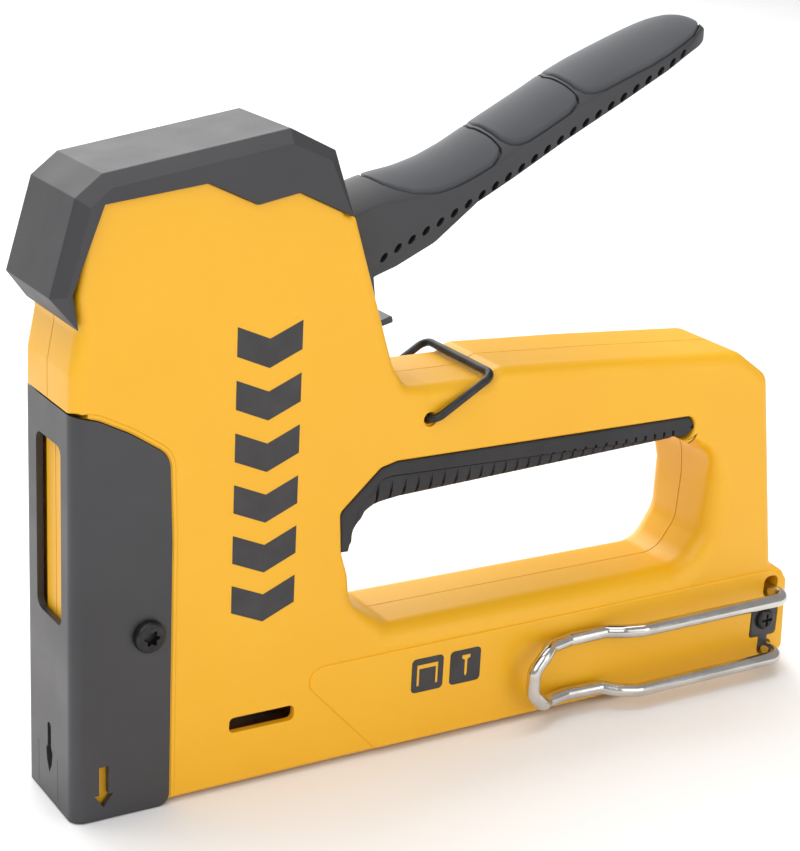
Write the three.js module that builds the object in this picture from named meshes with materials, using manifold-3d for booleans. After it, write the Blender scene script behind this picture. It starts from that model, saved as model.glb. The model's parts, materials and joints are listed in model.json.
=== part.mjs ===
// A hand staple gun: two moulded housing halves, a steel nose, a moulded top cap, a squeeze lever on a
// cross pin, a spring-driven striker, a pull-out staple magazine, a wire lever lock and a wire belt hook.
// Millimetres. +X runs from the nose to the rear, +Z up, and the tool's mid plane is Y = 0.
// Design coordinates start at the outer face of the nose cover; the exported group then moves the origin
// to the middle of the cover's bottom edge, where the staples leave.
import * as THREE from "three";
import { mergeVertices } from "three/addons/utils/BufferGeometryUtils.js";
import Module from "manifold-3d";

const wasm = await Module();
wasm.setup();

// ---------------------------------------------------------------- driving dimensions
const gap = 0.3; // clearance between pieces that touch
const bodyLength = 191; // nose cover to rear flange
const bodyHalf = 12.6; // half the housing's width
const bodyFloor = 0.8; // underside of the housing above the nose edge
const wall = 2.6; // moulded wall
const recessHalf = bodyHalf - 1.5; // half width of the housing under the cover and under the cap skirts
const innerHalf = recessHalf - 1.8; // half width of the hollow
const beyond = 20; // how far cutting tools reach past the tool's side
const edgeBevel = 1.6; // housing edge

const gripTop = 86.4; // top of the hand grip
const gripUnder = 69.4; // underside of the grip, where the rubber insert sits
const holeFloor = 30.3; // bottom of the finger opening
const holeFront = 61.4; // front of the finger opening
const columnThick = 27.6; // rear column, from the finger opening to the rear flange
const holeRear = bodyLength - columnThick;
const insertFront = 57.6; // lowest point of the rubber insert, at its front end
const insertRear = 62.4; // and at its rear end

const coverHalf = bodyHalf + 0.4; // nose cover, outside
const coverWall = 1.5;
const coverDepth = 21.6; // how far the cover's cheeks reach back
const coverTop = 89.0;
const coverCorner = 3.0; // outside bend radius

const capHalf = bodyHalf + 1.3; // cap, outside
const capBevel = 1.4;

const leverPivot = [56.4, 106];
const leverTravel = 26; // degrees from open to closed
const leverHalf = 10.4; // half width of the lever's hand grip
const leverSlotHalf = recessHalf - 1.9; // slot through the head's rear face
const leverNeckHalf = leverSlotHalf - 2 * gap; // half width where the lever passes into the head
const leverPinRadius = 3.0;
const leverPinHalf = bodyHalf - 2;
const coreHalf = 5.2; // steel core of the lever
const coreWall = 1.5;
const armDrop = 12; // degrees that the arm hangs below level at rest, about half the lever's travel
const armHalf = 2.6;
const armEye = 3.4; // outside radius of the arm's end
const liftPinRadius = 2.0;
const liftPinHalf = 6.2;

const bladeX = 5.2; // front of the driver blade
const bladeThick = 1.2;
const bladeHalf = 5.3;
const plungerRadius = 8.0; // striker tube
const plungerX = bladeX + bladeThick + plungerRadius + 0.2; // its axis
const plungerWall = 1.6;
const plungerBore = plungerRadius + 0.8; // half width of its bore in the housing
const plungerRear = plungerX + plungerRadius;
const plungerFloor = 50;
const plungerTop = 107;
const seatBottom = 122; // spring seat
const seatTop = 126;
const springWire = 1.6;
const springRadius = plungerRadius - plungerWall - 2 * gap - springWire / 2; // to the middle of the wire
const springTurns = 11;

const magazineHalf = 6.5;
const magazineTop = 15.6;
const magazineWall = 1.0;
const magazineFront = 7.2;
const magazineRear = bodyLength - 10;
const latchTop = 18.3;
const lipHalf = magazineHalf + 1.4; // the magazine's running lips
const latchHalf = lipHalf + 0.2;
const lipBottom = magazineTop - 1.0;
const railHalf = magazineHalf - 2.9; // staple rail inside the channel
const railTop = 13.2;
const railWall = 0.8;
const pusherLength = 14;

const bailPivot = [82.1, 78];
const bailWire = 2.2;
const bailHalf = bodyHalf + 1.4; // to the middle of the side legs
const bailReach = 17; // pivot to cross bar
const bailAngle = 31; // degrees above level at rest, pointing back
const bailTravel = 90;

const hookWire = 3.2;
const hookHigh = 20.2;
const hookLow = 4.6;
const hookRear = bodyLength - 6.4;
const hookLength = 76.1; // anchored end to the tip
const hookStandOff = bodyHalf + 6.8; // Y of the straight stretch
const hookPinch = bodyHalf + 2.3; // Y where it closes on the belt
const clampScrewAt = [bodyLength - 7.4, 12.4];

const caseScrews = [ // x, z
  [54, 54], [31, 33], [66, 23.5], [34, 125],
  [122, gripTop - 8.6], [bodyLength - 20.5, 69], [bodyLength - 41, 23.5],
];
const bossRadius = 3.6;
const screwHead = { radius: 2.9, height: 2.0 };
const screwShank = { radius: 1.4, length: 15 };
const noseScrewAt = [16.5, 40.1];

// ---------------------------------------------------------------- materials
const finish = (color, roughness, metalness = 0) =>
  new THREE.MeshStandardMaterial({ color, roughness, metalness });
const yellowMoulding = finish(0xf7b522, 0.42);
const blackMoulding = finish(0x3b3b3d, 0.55);
const softGrip = finish(0x56595d, 0.7);
const blackRubber = finish(0x2d2c2e, 0.8);
const coatedSteel = finish(0x414144, 0.45, 0.3);
const springSteel = finish(0x8d9094, 0.35, 1);
const brightWire = finish(0xc9c6c2, 0.18, 1);
const blackScrew = finish(0x242426, 0.4, 0.5);

// ---------------------------------------------------------------- solids
// A closed geometry as a manifold solid.
function solid(geometry) {
  const bare = geometry.index ? geometry.toNonIndexed() : geometry;
  bare.deleteAttribute("normal");
  bare.deleteAttribute("uv");
  const merged = mergeVertices(bare, 1e-3);
  return new wasm.Manifold(new wasm.Mesh({
    numProp: 3,
    vertProperties: merged.attributes.position.array,
    triVerts: new Uint32Array(merged.index.array),
  }));
}

// Traces corners [x, y, radius] on a path, each turned by an arc of its radius.
function trace(path, corners) {
  const at = (i) => new THREE.Vector2(...corners[(i + corners.length) % corners.length].slice(0, 2));
  corners.forEach(([, , radius = 0], i) => {
    const here = at(i);
    if (!radius) {
      if (i) path.lineTo(here.x, here.y);
      else path.moveTo(here.x, here.y);
      return;
    }
    const before = at(i - 1).sub(here).normalize();
    const after = at(i + 1).sub(here).normalize();
    const half = Math.acos(THREE.MathUtils.clamp(before.dot(after), -1, 1)) / 2;
    const centre = before.clone().add(after).normalize().multiplyScalar(radius / Math.sin(half)).add(here);
    const start = before.clone().multiplyScalar(radius / Math.tan(half)).add(here).sub(centre);
    const end = after.clone().multiplyScalar(radius / Math.tan(half)).add(here).sub(centre);
    const clockwise = before.cross(after) > 0;
    if (!i) path.moveTo(centre.x + start.x, centre.y + start.y);
    path.absarc(centre.x, centre.y, radius, start.angle(), end.angle(), clockwise);
  });
  path.closePath();
  return path;
}

// The outline's points, counter-clockwise, without the repeats that a path with arcs can hold.
function outline(corners, arcSteps = 3) {
  const all = trace(new THREE.Path(), corners).getPoints(arcSteps);
  const points = all.filter((p, i) => p.distanceTo(all[(i + 1) % all.length]) > 1e-3);
  return THREE.ShapeUtils.isClockWise(points) ? points.reverse() : points;
}

function extruded(corners, depth, { bevel = 0, holes = [], arcSteps = 3 } = {}) {
  const shape = new THREE.Shape(outline(corners, arcSteps));
  shape.holes = holes.map((hole) => new THREE.Path(outline(hole, arcSteps)));
  const geometry = new THREE.ExtrudeGeometry(shape, {
    depth: depth - 2 * bevel,
    bevelEnabled: bevel > 0,
    bevelThickness: bevel,
    bevelSize: bevel,
    bevelOffset: -bevel,
    bevelSegments: 2,
  });
  return geometry.translate(0, 0, bevel);
}

// A side outline (x, z) taken across the tool from yLow to yHigh.
function across(corners, yLow, yHigh, options) {
  return solid(extruded(corners, yHigh - yLow, options).rotateX(Math.PI / 2).translate(0, yHigh, 0));
}

// A plan outline (x, y) taken up from zLow to zHigh.
function upright(corners, zLow, zHigh, options) {
  return solid(extruded(corners, zHigh - zLow, options).translate(0, 0, zLow));
}

// A front outline (y, z) taken back from xLow to xHigh.
function lengthwise(corners, xLow, xHigh, options) {
  const geometry = extruded(corners, xHigh - xLow, options);
  return solid(geometry.rotateX(Math.PI / 2).rotateZ(Math.PI / 2).translate(xLow, 0, 0));
}

function box(xLow, xHigh, yLow, yHigh, zLow, zHigh) {
  const geometry = new THREE.BoxGeometry(xHigh - xLow, yHigh - yLow, zHigh - zLow);
  return solid(geometry.translate((xLow + xHigh) / 2, (yLow + yHigh) / 2, (zLow + zHigh) / 2));
}

// A round bar between two points; a second radius makes it a cone.
function bar(radius, from, to, sides = 20, endRadius = radius) {
  const start = new THREE.Vector3(...from);
  const run = new THREE.Vector3(...to).sub(start);
  const geometry = new THREE.CylinderGeometry(endRadius, radius, run.length(), sides);
  geometry.translate(0, run.length() / 2, 0);
  const upAxis = new THREE.Vector3(0, 1, 0);
  geometry.applyQuaternion(new THREE.Quaternion().setFromUnitVectors(upAxis, run.normalize()));
  return solid(geometry.translate(start.x, start.y, start.z));
}

// A bar across the tool at x, z.
const crossBar = (radius, x, z, yLow, yHigh, sides) => bar(radius, [x, yLow, z], [x, yHigh, z], sides);

// Wire of the given diameter along a curve.
function wire(curve, diameter, steps, sides) {
  const section = new THREE.Shape();
  section.absarc(0, 0, diameter / 2, 0, 2 * Math.PI);
  const options = { steps, extrudePath: curve, bevelEnabled: false, curveSegments: sides / 2 };
  return solid(new THREE.ExtrudeGeometry(section, options));
}

// Straight stretches joined by bends of one radius.
function bentRoute(points, radius) {
  const corners = points.map((p) => new THREE.Vector3(...p));
  const route = new THREE.CurvePath();
  let from = corners[0];
  for (let i = 1; i < corners.length - 1; i += 1) {
    const towards = (target) => target.clone().sub(corners[i]).setLength(radius).add(corners[i]);
    const [start, end] = [towards(corners[i - 1]), towards(corners[i + 1])];
    route.add(new THREE.LineCurve3(from, start));
    route.add(new THREE.QuadraticBezierCurve3(start, corners[i], end));
    from = end;
  }
  route.add(new THREE.LineCurve3(from, corners[corners.length - 1]));
  return route;
}

// A coil spring between two points on a straight axis.
class Coil extends THREE.Curve {
  constructor(from, to, radius, turns) {
    super();
    Object.assign(this, { from: new THREE.Vector3(...from), to: new THREE.Vector3(...to), radius, turns });
    const axis = this.to.clone().sub(this.from).normalize();
    this.side = Math.abs(axis.y) > 0.5 ? new THREE.Vector3(1, 0, 0) : new THREE.Vector3(0, 1, 0);
    this.other = axis.clone().cross(this.side);
  }
  getPoint(t, target = new THREE.Vector3()) {
    const angle = 2 * Math.PI * this.turns * t;
    return target.copy(this.from).lerp(this.to, t)
      .addScaledVector(this.side, this.radius * Math.cos(angle))
      .addScaledVector(this.other, this.radius * Math.sin(angle));
  }
}

const both = (make) => make(-1).add(make(1)); // the same piece on the two sides
const outward = (side, depth) => (side < 0 ? [-beyond, -depth] : [depth, beyond]); // Y from a depth outward

const part = new THREE.Group();
function add(name, made, material) {
  const { vertProperties, triVerts, numProp } = made.getMesh();
  const geometry = new THREE.BufferGeometry();
  const positions = new Float32Array((vertProperties.length / numProp) * 3);
  for (let i = 0; i < positions.length / 3; i += 1) {
    positions.set(vertProperties.subarray(i * numProp, i * numProp + 3), i * 3);
  }
  geometry.setAttribute("position", new THREE.BufferAttribute(positions, 3));
  geometry.setIndex(new THREE.BufferAttribute(triVerts, 1));
  geometry.computeVertexNormals();
  const mesh = new THREE.Mesh(geometry, material);
  mesh.name = name;
  part.add(mesh);
  return made;
}

// ---------------------------------------------------------------- side outlines
const flangeTop = 26.5; // the rear flange is the end of the magazine housing
const housingOutline = [
  [coverWall + gap, bodyFloor],
  [coverWall + gap, coverTop + gap],
  [0, coverTop + gap],
  [0.1, 97, 4],
  [1.7, 105.2],
  [1.2, 112.5],
  [4.3, 130.2],
  [8.8, 133.5],
  [46.2, 139.7],
  [54.2, 135.8],
  [59.2, 124.8],
  [61.9, 124, 2],
  [72.6, 90.4, 2],
  [76.5, gripTop - 0.8, 3],
  [96.8, gripTop - 1.2],
  [100.2, gripTop + 0.8],
  [bodyLength - 23.4, gripTop - 3.2, 5],
  [bodyLength - 13.8, gripTop - 10, 3],
  [bodyLength - 6.4, flangeTop + 0.5, 1],
  [bodyLength - 1.2, 23.5, 3],
  [bodyLength, 4, 2],
  [bodyLength - 2, bodyFloor],
];
const fingerHole = [
  [holeFront, 50, 2],
  [61.0, 59.6, 2],
  [70.5, 68.4, 2],
  [74.5, gripUnder, 3],
  [holeRear - 8, gripUnder - 0.2, 2.5],
  [holeRear - 8, 63.8],
  [holeRear - 3.8, 62.6, 4],
  [holeRear, 54, 4],
  [holeRear - 0.6, 38, 6],
  [holeRear - 5.4, holeFloor, 6],
  [74.5, holeFloor, 3.5],
  [66, 36.8, 5],
];
const coverOutline = [
  [0, 0],
  [0, coverTop],
  [5.4, 87.5],
  [10, 85.2],
  [15, 82.1],
  [19.4, 78.6],
  [coverDepth - 0.4, 74.5],
  [coverDepth, 1.6],
  [coverDepth - 1.6, 0],
];
// The cap's skirt ends in a zigzag against the housing's side.
const capSkirt = [
  [60.9, 124.1], [48.2, 130], [39, 128.2], [28.1, 133.2], [6.6, 130.6], [0.1, 113.6], [1.2, 106.4],
];
const capOutline = [
  [-3.5, 112.9],
  [1.8, 131.4],
  [7.1, 135.5],
  [46.5, 142.0],
  [56.3, 137.2],
  ...capSkirt,
];

// An outline grown by a distance, corner by corner.
function grown(corners, distance) {
  const turn = THREE.ShapeUtils.area(corners.map(([x, y]) => new THREE.Vector2(x, y))) > 0 ? 1 : -1;
  return corners.map(([x, y, radius], i) => {
    const [px, py] = corners[(i + corners.length - 1) % corners.length];
    const [nx, ny] = corners[(i + 1) % corners.length];
    const inward = new THREE.Vector2(x - px, y - py).normalize();
    const outward = new THREE.Vector2(nx - x, ny - y).normalize();
    const [a, b] = [inward, outward].map((d) => new THREE.Vector2(d.y, -d.x).multiplyScalar(turn));
    const mitre = a.add(b);
    mitre.multiplyScalar((2 * distance) / mitre.lengthSq());
    return [x + mitre.x, y + mitre.y, radius];
  });
}

// ---------------------------------------------------------------- housing
const screwSeat = bodyHalf - screwHead.height - 0.6; // Y of the face under each case screw's head

const headHollow = [
  [4.6, 92], [4.6, seatTop + gap], [27, seatTop + gap], [27, 132.4], [44, 135.6], [52, 131.6],
  [56, 123], [90, 123], [90, 94.5], [74.6, 88], [42, 88],
];
const frontHollow = [
  [27, 21], [27, 84.5], [62, 84.5], [67, 72.5], [58.4, 62], [58.4, 42], [69, 27.4], [69, 21],
];
const gripHollow = [
  [80, gripUnder + wall],
  [80, gripTop - 5],
  [holeRear + 0.6, gripTop - 6.4],
  [bodyLength - 17.5, gripTop - 12.6],
  [bodyLength - 12.2, holeFloor - 0.8],
  [holeRear + 3, holeFloor - 0.8],
  [holeRear + 3, 60],
  [holeRear - 3.9, gripUnder + wall],
];
const stapleWindow = [[35.4, 13.2, 1.2], [35.4, 16.9, 1.2], [51.4, 16.9, 1.2], [51.4, 13.2, 1.2]];
const [clampX, clampZ] = clampScrewAt;
const clampOutline = [
  [clampX - 4, clampZ + 5, 0.8],
  [clampX + 4, clampZ + 5, 0.8],
  [clampX + 4, clampZ - 4.4, 0.8],
  [clampX + 1.7, clampZ - 4.4],
  [clampX + 1.7, clampZ - 5.6],
  [clampX - 1.3, clampZ - 5.6],
  [clampX - 1.3, clampZ - 4.4],
  [clampX - 4, clampZ - 4.4],
];
function hookSlots() {
  const [front, rear] = [hookRear - 2, hookRear + 2];
  const slot = (zLow, zHigh) => across(
    [[front, zLow, 1.8], [rear, zLow, 1.8], [rear, zHigh, 1.8], [front, zHigh, 1.8]],
    -beyond, -innerHalf,
  );
  return slot(hookHigh - 2, hookHigh + 3.6).add(slot(hookLow - 2, hookLow + 2));
}

// Everything that is cut from the whole housing before it is split.
function housingHollows() {
  return [
    // recesses for the nose cover and the cap's skirts
    both((s) => across(grown(coverOutline, gap), ...outward(s, recessHalf))),
    both((s) => across(grown(capOutline, gap), ...outward(s, recessHalf))),
    // the cover's bends
    both((s) => upright(
      [
        [-2, s * (recessHalf - 1.8)],
        [coverWall + gap, s * (recessHalf - 1.8)],
        [coverWall + gap + 1.8, s * recessHalf],
        [coverWall + 4, s * beyond],
        [-2, s * beyond],
      ],
      -1, coverTop + gap,
    )),
    // striker bore, open to the head
    box(4.6, plungerRear + 1.6, -plungerBore, plungerBore, 43.2, 120),
    box(bladeX - 2 * gap, bladeX + bladeThick + gap, -bladeHalf - gap, bladeHalf + gap, 0, 50),
    // nose plate pocket
    box(0, 4.9, -8.3, 8.3, -1, 26.3),
    // head, with the lever's slot through its rear face
    across(headHollow, -leverSlotHalf, leverSlotHalf),
    // lower front, grip, rear column and base, for even walls
    across(frontHollow, -innerHalf, innerHalf),
    across(gripHollow, -innerHalf, innerHalf),
    box(72, bodyLength - 12.5, -innerHalf, innerHalf, 19.4, holeFloor - wall),
    // magazine tunnel, its lip grooves and its rear door
    box(bladeX - gap, bodyLength + 5, -magazineHalf - gap, magazineHalf + gap, -1, magazineTop + gap),
    box(bladeX - gap, bodyLength + 5, -lipHalf - gap, lipHalf + gap, lipBottom - gap, magazineTop + gap),
    box(magazineRear - gap, bodyLength + 5, -latchHalf - gap, latchHalf + gap, -1, latchTop + gap),
    // cross pin of the lever, blind from inside
    crossBar(leverPinRadius + 0.1, ...leverPivot, -leverPinHalf - gap, leverPinHalf + gap, 24),
    // staple window in the left side
    across(stapleWindow, -beyond, -magazineHalf),
    // lever lock pivots
    both((s) => crossBar(bailWire / 2 + 0.15, ...bailPivot, ...outward(s, innerHalf - 1), 12)),
    // belt hook: two slots for the wire and a seat for its clamp plate
    hookSlots(),
    across(grown(clampOutline, gap), -beyond, -bodyHalf + 1.3),
    crossBar(1.3, ...clampScrewAt, -beyond, -innerHalf, 10),
    // nose cover screws
    both((s) => crossBar(1.5, ...noseScrewAt, ...outward(s, coverHalf - 4.5), 12)),
  ];
}
// The grip's sides fall back a little so that the lock's legs clear them.
const gripRelief = 1.0;
const reliefPlan = (s) => [
  [74, s * bodyHalf],
  [84, s * (bodyHalf - gripRelief)],
  [holeRear - 13.4, s * (bodyHalf - gripRelief)],
  [holeRear - 3.4, s * bodyHalf],
  [holeRear - 3.4, s * beyond],
  [74, s * beyond],
];
const wholeHousing = housingHollows()
  .reduce(
    (left, cut) => left.subtract(cut),
    across(housingOutline, -bodyHalf, bodyHalf, { bevel: edgeBevel, holes: [fingerHole], arcSteps: 2 }),
  )
  .subtract(both((s) => upright(reliefPlan(s), gripUnder - 2.4, gripTop + 8)));
// One half, with a boss for each case screw: threaded on the left, bored through for the head on the right.
function halfOf(side) {
  const [yLow, yHigh] = side < 0 ? [-beyond, -gap / 2] : [gap / 2, beyond];
  let half = wholeHousing.intersect(box(-10, bodyLength + 10, yLow, yHigh, -5, 200));
  const boss = (at) => crossBar(bossRadius, ...at, ...outward(side, gap / 2), 16)
    .intersect(box(-10, bodyLength + 10, -innerHalf - 1, innerHalf + 1, -5, 200));
  for (const at of caseScrews) half = half.add(boss(at));
  for (const at of caseScrews) {
    if (side < 0) {
      const depth = screwSeat - screwShank.length - 1;
      half = half.subtract(crossBar(screwShank.radius + 0.2, ...at, depth, 1, 12));
    } else {
      half = half.subtract(crossBar(screwShank.radius + gap, ...at, -1, beyond, 12));
      half = half.subtract(crossBar(screwHead.radius + gap, ...at, screwSeat - gap, beyond, 16));
    }
  }
  return half;
}
add("housing_left", halfOf(-1), yellowMoulding);
add("housing_right", halfOf(1), yellowMoulding);

// A screw at x, z whose head stands outward from a seat on one side, with a six-sided socket.
function screw([x, z], side, head, shank, seat) {
  const face = seat + head.height;
  const span = (from, to) => (side < 0 ? [-to, -from] : [from, to]);
  const top = head.radius * 0.82;
  const cone = side < 0
    ? bar(top, [x, -face, z], [x, -seat, z], 18, head.radius)
    : bar(head.radius, [x, seat, z], [x, face, z], 18, top);
  return cone
    .add(crossBar(shank.radius, x, z, ...span(seat - shank.length, seat + 0.1), 12))
    .subtract(crossBar(head.radius * 0.4, x, z, ...span(face - head.height * 0.55, face + 1), 6));
}
caseScrews.forEach((at, i) => {
  add(`case_screw_${i + 1}`, screw(at, 1, screwHead, screwShank, screwSeat), blackScrew);
});

// ---------------------------------------------------------------- nose
function noseCover() {
  const plan = [[0, -coverHalf, coverCorner], [0, coverHalf, coverCorner], [40, coverHalf], [40, -coverHalf]];
  const inner = [
    [coverWall, -coverHalf + coverWall, coverCorner - coverWall],
    [coverWall, coverHalf - coverWall, coverCorner - coverWall],
    [60, coverHalf - coverWall],
    [60, -coverHalf + coverWall],
  ];
  const window = [[-6.2, 43.5, 2.5], [6.2, 43.5, 2.5], [6.2, 80.5, 2.5], [-6.2, 80.5, 2.5]];
  const arrow = (x, tip, top, shaft, head) => {
    const shoulder = tip + 1.4 * head;
    return [
      [x, tip], [x - head, shoulder], [x - shaft, shoulder], [x - shaft, top],
      [x + shaft, top], [x + shaft, shoulder], [x + head, shoulder],
    ];
  };
  return across(coverOutline, -coverHalf, coverHalf)
    .intersect(upright(plan, -1, 100))
    .subtract(upright(inner, -1, 100))
    .subtract(lengthwise(window, -1, 3))
    .subtract(lengthwise(arrow(0, 6.4, 18, 0.8, 1.7), -1, 3))
    .subtract(both((s) => across(arrow(6.8, 2.9, 12.2, 1.0, 2.3), ...outward(s, 5))))
    .subtract(crossBar(2.0, ...noseScrewAt, -beyond, beyond, 14));
}
add("nose_cover", noseCover(), coatedSteel);
const noseHead = { radius: 3.4, height: 2.1 };
const noseShank = { radius: 1.2, length: 4.4 };
for (const [name, side] of [["nose_screw_left", -1], ["nose_screw_right", 1]]) {
  add(name, screw(noseScrewAt, side, noseHead, noseShank, coverHalf + gap), blackScrew);
}
add("nose_plate", box(coverWall + gap, 4.7, -8, 8, 0.2, 26), springSteel);

// ---------------------------------------------------------------- cap
const leverDoor = [[54, 120], [52, 132.6], [66, 138], [90, 120]]; // where the lever leaves the cap
function topCap() {
  return across(capOutline, -capHalf, capHalf, { bevel: capBevel })
    .subtract(across(grown(housingOutline, gap), -recessHalf - gap, recessHalf + gap))
    .subtract(across(leverDoor, -leverSlotHalf - 0.4, leverSlotHalf + 0.4));
}
add("top_cap", topCap(), blackMoulding);

// ---------------------------------------------------------------- rubber insert in the finger opening
function fingerInsert() {
  const insert = [
    [holeFront + gap, 51.4, 0.8],
    [61.0 + gap, 59.4, 2],
    [70.7, 68.1, 2],
    [74.6, gripUnder - gap, 3],
    [holeRear - 8 - gap, gripUnder - 0.2 - gap, 2.2],
    [holeRear - 8 - gap, 64.1, 1.5],
    [holeRear - 13.4, insertRear, 3],
    [77, insertFront, 6],
    [70, insertFront - 0.6, 4],
    [65.2, 54, 3],
    [63.6, 51, 0.6],
  ];
  const half = bodyHalf - 0.6;
  const flank = 5.5; // the underside is rounded off by this much
  const chamfer = (s) => lengthwise(
    [[s * (half + 0.2), 66.3], [s * (half - flank), 52], [s * 30, 40], [s * 30, 66.3]],
    69, bodyLength,
  );
  return across(insert, -half, half).subtract(both(chamfer));
}
add("finger_insert", fingerInsert(), blackRubber);

// ---------------------------------------------------------------- lever, drawn as it stands when open
const rad = THREE.MathUtils.degToRad;
const turned = ([x, z], [px, pz], degrees) => {
  const [c, s] = [Math.cos(rad(degrees)), Math.sin(rad(degrees))];
  return [px + (x - px) * c - (z - pz) * s, pz + (z - pz) * c + (x - px) * s];
};
const shellTop = [
  [64.4, 127.6], [72.5, 129.8], [78.5, 130.8], [84.4, 132.5], [95.2, 137.7], [105.5, 143.3], [116.5, 149.3],
  [128.5, 154.7], [138.8, 158.8], [146.8, 160.8], [153, 160.4], [155.9, 157.9],
];
const shellUnder = [
  [156.3, 154.9], [155.5, 153.3], [153, 151.4], [144.5, 152.4], [138.5, 149.4], [126.4, 142.8],
  [113.6, 136.1],
  [101.1, 129], [91.7, 124], [84.7, 120.1], [77.8, 116.5], [73.8, 114.8], [70.1, 112.2], [67.5, 112],
];
const shellWall = 2.2;
// Half width and fall of the back, step by step.
const crownSteps = [
  [leverHalf - 5, 0.5],
  [leverHalf - 3.2, 2.2],
  [leverHalf - 1.8, 3.7],
  [leverHalf - 0.8, 5],
  [leverHalf, 6.2],
];
const crown = (outlineAt) => crownSteps
  .map(([half, fall]) => across(outlineAt(-fall), -half, half))
  .reduce((a, b) => a.add(b));
// Everything under the lever's crowned back when it is raised by a distance.
const underBack = (rise) => crown((level) => [
  [50, 80], ...shellTop.map(([x, z]) => [x, z + level + rise]), [170, 80],
]);

// The lever's plan outline, drawn in by a distance.
function leverPlan(inset) {
  const grip = leverHalf - inset;
  const neck = leverNeckHalf - inset;
  const side = [
    [55, neck], [76, neck], [92, grip], [140, grip, 6],
    [150.5 - inset, grip * 0.75, 4], [154.8 - inset, grip * 0.4, 2], [156.6 - inset, 0.01],
  ];
  return [...side, ...side.slice(0, -1).reverse().map(([x, y, r]) => [x, -y, r])];
}

// A slab of the crowned back between two heights, taken over a plan outline.
const padProud = 0.5;
const padDepth = 1.4;
const slab = (plan, high, low) => underBack(high).subtract(underBack(low)).intersect(upright(plan, 100, 180));
const padPlan = (xLow, xHigh, half, halfHigh) => (spread) => [
  [xLow - spread, -half - spread, 2],
  [xHigh + spread, -halfHigh - spread, 2],
  [xHigh + spread, halfHigh + spread, 2],
  [xLow - spread, half + spread, 2],
];
const padHalf = leverHalf - 1.6;
const pads = {
  lever_pad_front: padPlan(71, 96.5, leverNeckHalf - 1.4, padHalf - 0.6),
  lever_pad_middle: padPlan(98.5, 115.5, padHalf, padHalf),
  lever_pad_rear: padPlan(117.5, 149, padHalf, padHalf - 3),
};
for (const [name, plan] of Object.entries(pads)) add(name, slab(plan(0), padProud, -padDepth), softGrip);

const ceilingFall = padDepth + 2.3;
function leverShell() {
  const hollow = underBack(-ceilingFall)
    .intersect(upright(leverPlan(shellWall), 70, 170))
    .intersect(box(50, 152, -leverHalf, leverHalf, 70, 170));
  let shell = underBack(0)
    .intersect(across([...shellTop, ...shellUnder], -leverHalf, leverHalf))
    .intersect(upright(leverPlan(0), 70, 170))
    .subtract(hollow);
  for (const plan of Object.values(pads)) {
    shell = shell.subtract(slab(plan(gap), padProud + 5, -padDepth - gap));
  }
  return shell;
}
add("lever_shell", leverShell(), blackMoulding);

// The steel core: a channel open below, with the lifting arm in front of the pivot and the lock finger
// behind it.
const armLength = leverPivot[0] - (plungerRear + 0.4 + armEye); // pivot to lift pin
const liftPinAt = turned([leverPivot[0] - armLength, leverPivot[1]], leverPivot, armDrop);
const bailBarAt = (degrees) => turned([bailPivot[0] + bailReach, bailPivot[1]], bailPivot, degrees);
// Where the locked wire's cross bar lies as seen from the open lever.
const lockedBar = turned(bailBarAt(bailAngle + bailTravel), leverPivot, leverTravel);
function leverCore() {
  const top = [[58, 117.5], [62, 119.4], [72, 124.2], [82, 127], [92, 131.1], [104, 137.6], [122, 146.9]];
  const under = [
    [122, 144], [106, 135], [95.5, 122.8], [85.3, 114.9], [76, 110.5], [70.4, 108.6], [66, 103],
    [56, 99.6, 4], [49.8, 102.6, 2], [49.8, 110, 2],
  ];
  const inside = [[52, 90], [52, 112], ...top.map(([x, z]) => [x, z - coreWall]), [140, 130], [100, 90]];
  const arm = [
    [leverPivot[0] + 2, leverPivot[1] - 5],
    [liftPinAt[0], liftPinAt[1] - armEye],
    [liftPinAt[0], liftPinAt[1] + armEye],
    [leverPivot[0] - 4, leverPivot[1] + 6],
    [leverPivot[0] + 2, leverPivot[1] + 6],
  ];
  const along = ([x, z], forward, up) => {
    const [dx, dz] = turned([forward, up], [0, 0], leverTravel);
    return [x + dx, z + dz];
  };
  const fingerTop = -bailWire / 2 - gap;
  const fingerEnd = -1.4; // it stops short of the wire's middle
  const finger = [
    [64, 104.5],
    along(lockedBar, -7, fingerTop - 1.6),
    along(lockedBar, fingerEnd, fingerTop - 1.6),
    along(lockedBar, fingerEnd, fingerTop),
    along(lockedBar, fingerEnd - 3.8, fingerTop),
    [72, 109.6],
  ];
  const fingerRoot = [[66, 103.2], [70.4, 108.8], [74, 110], [74, 111.4], [66, 106]];
  return across([...top, ...under], -coreHalf, coreHalf)
    .subtract(across(inside, -coreHalf + coreWall, coreHalf - coreWall))
    .add(across(arm, -armHalf, armHalf))
    .add(crossBar(armEye, ...liftPinAt, -armHalf, armHalf, 20))
    .add(box(50.4, 52.4, -coreHalf + 0.4, coreHalf - 0.4, 102.6, 109.5))
    .add(across(finger, -armHalf, armHalf))
    .add(across(fingerRoot, -coreHalf + 0.4, coreHalf - 0.4))
    .subtract(crossBar(leverPinRadius + gap, ...leverPivot, -beyond, beyond, 24))
    .subtract(crossBar(liftPinRadius + gap, ...liftPinAt, -beyond, beyond, 20));
}
add("lever_core", leverCore(), coatedSteel);
add("lift_pin", crossBar(liftPinRadius, ...liftPinAt, -liftPinHalf, liftPinHalf, 20), springSteel);
add("lever_pin", crossBar(leverPinRadius, ...leverPivot, -leverPinHalf, leverPinHalf, 24), springSteel);
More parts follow.
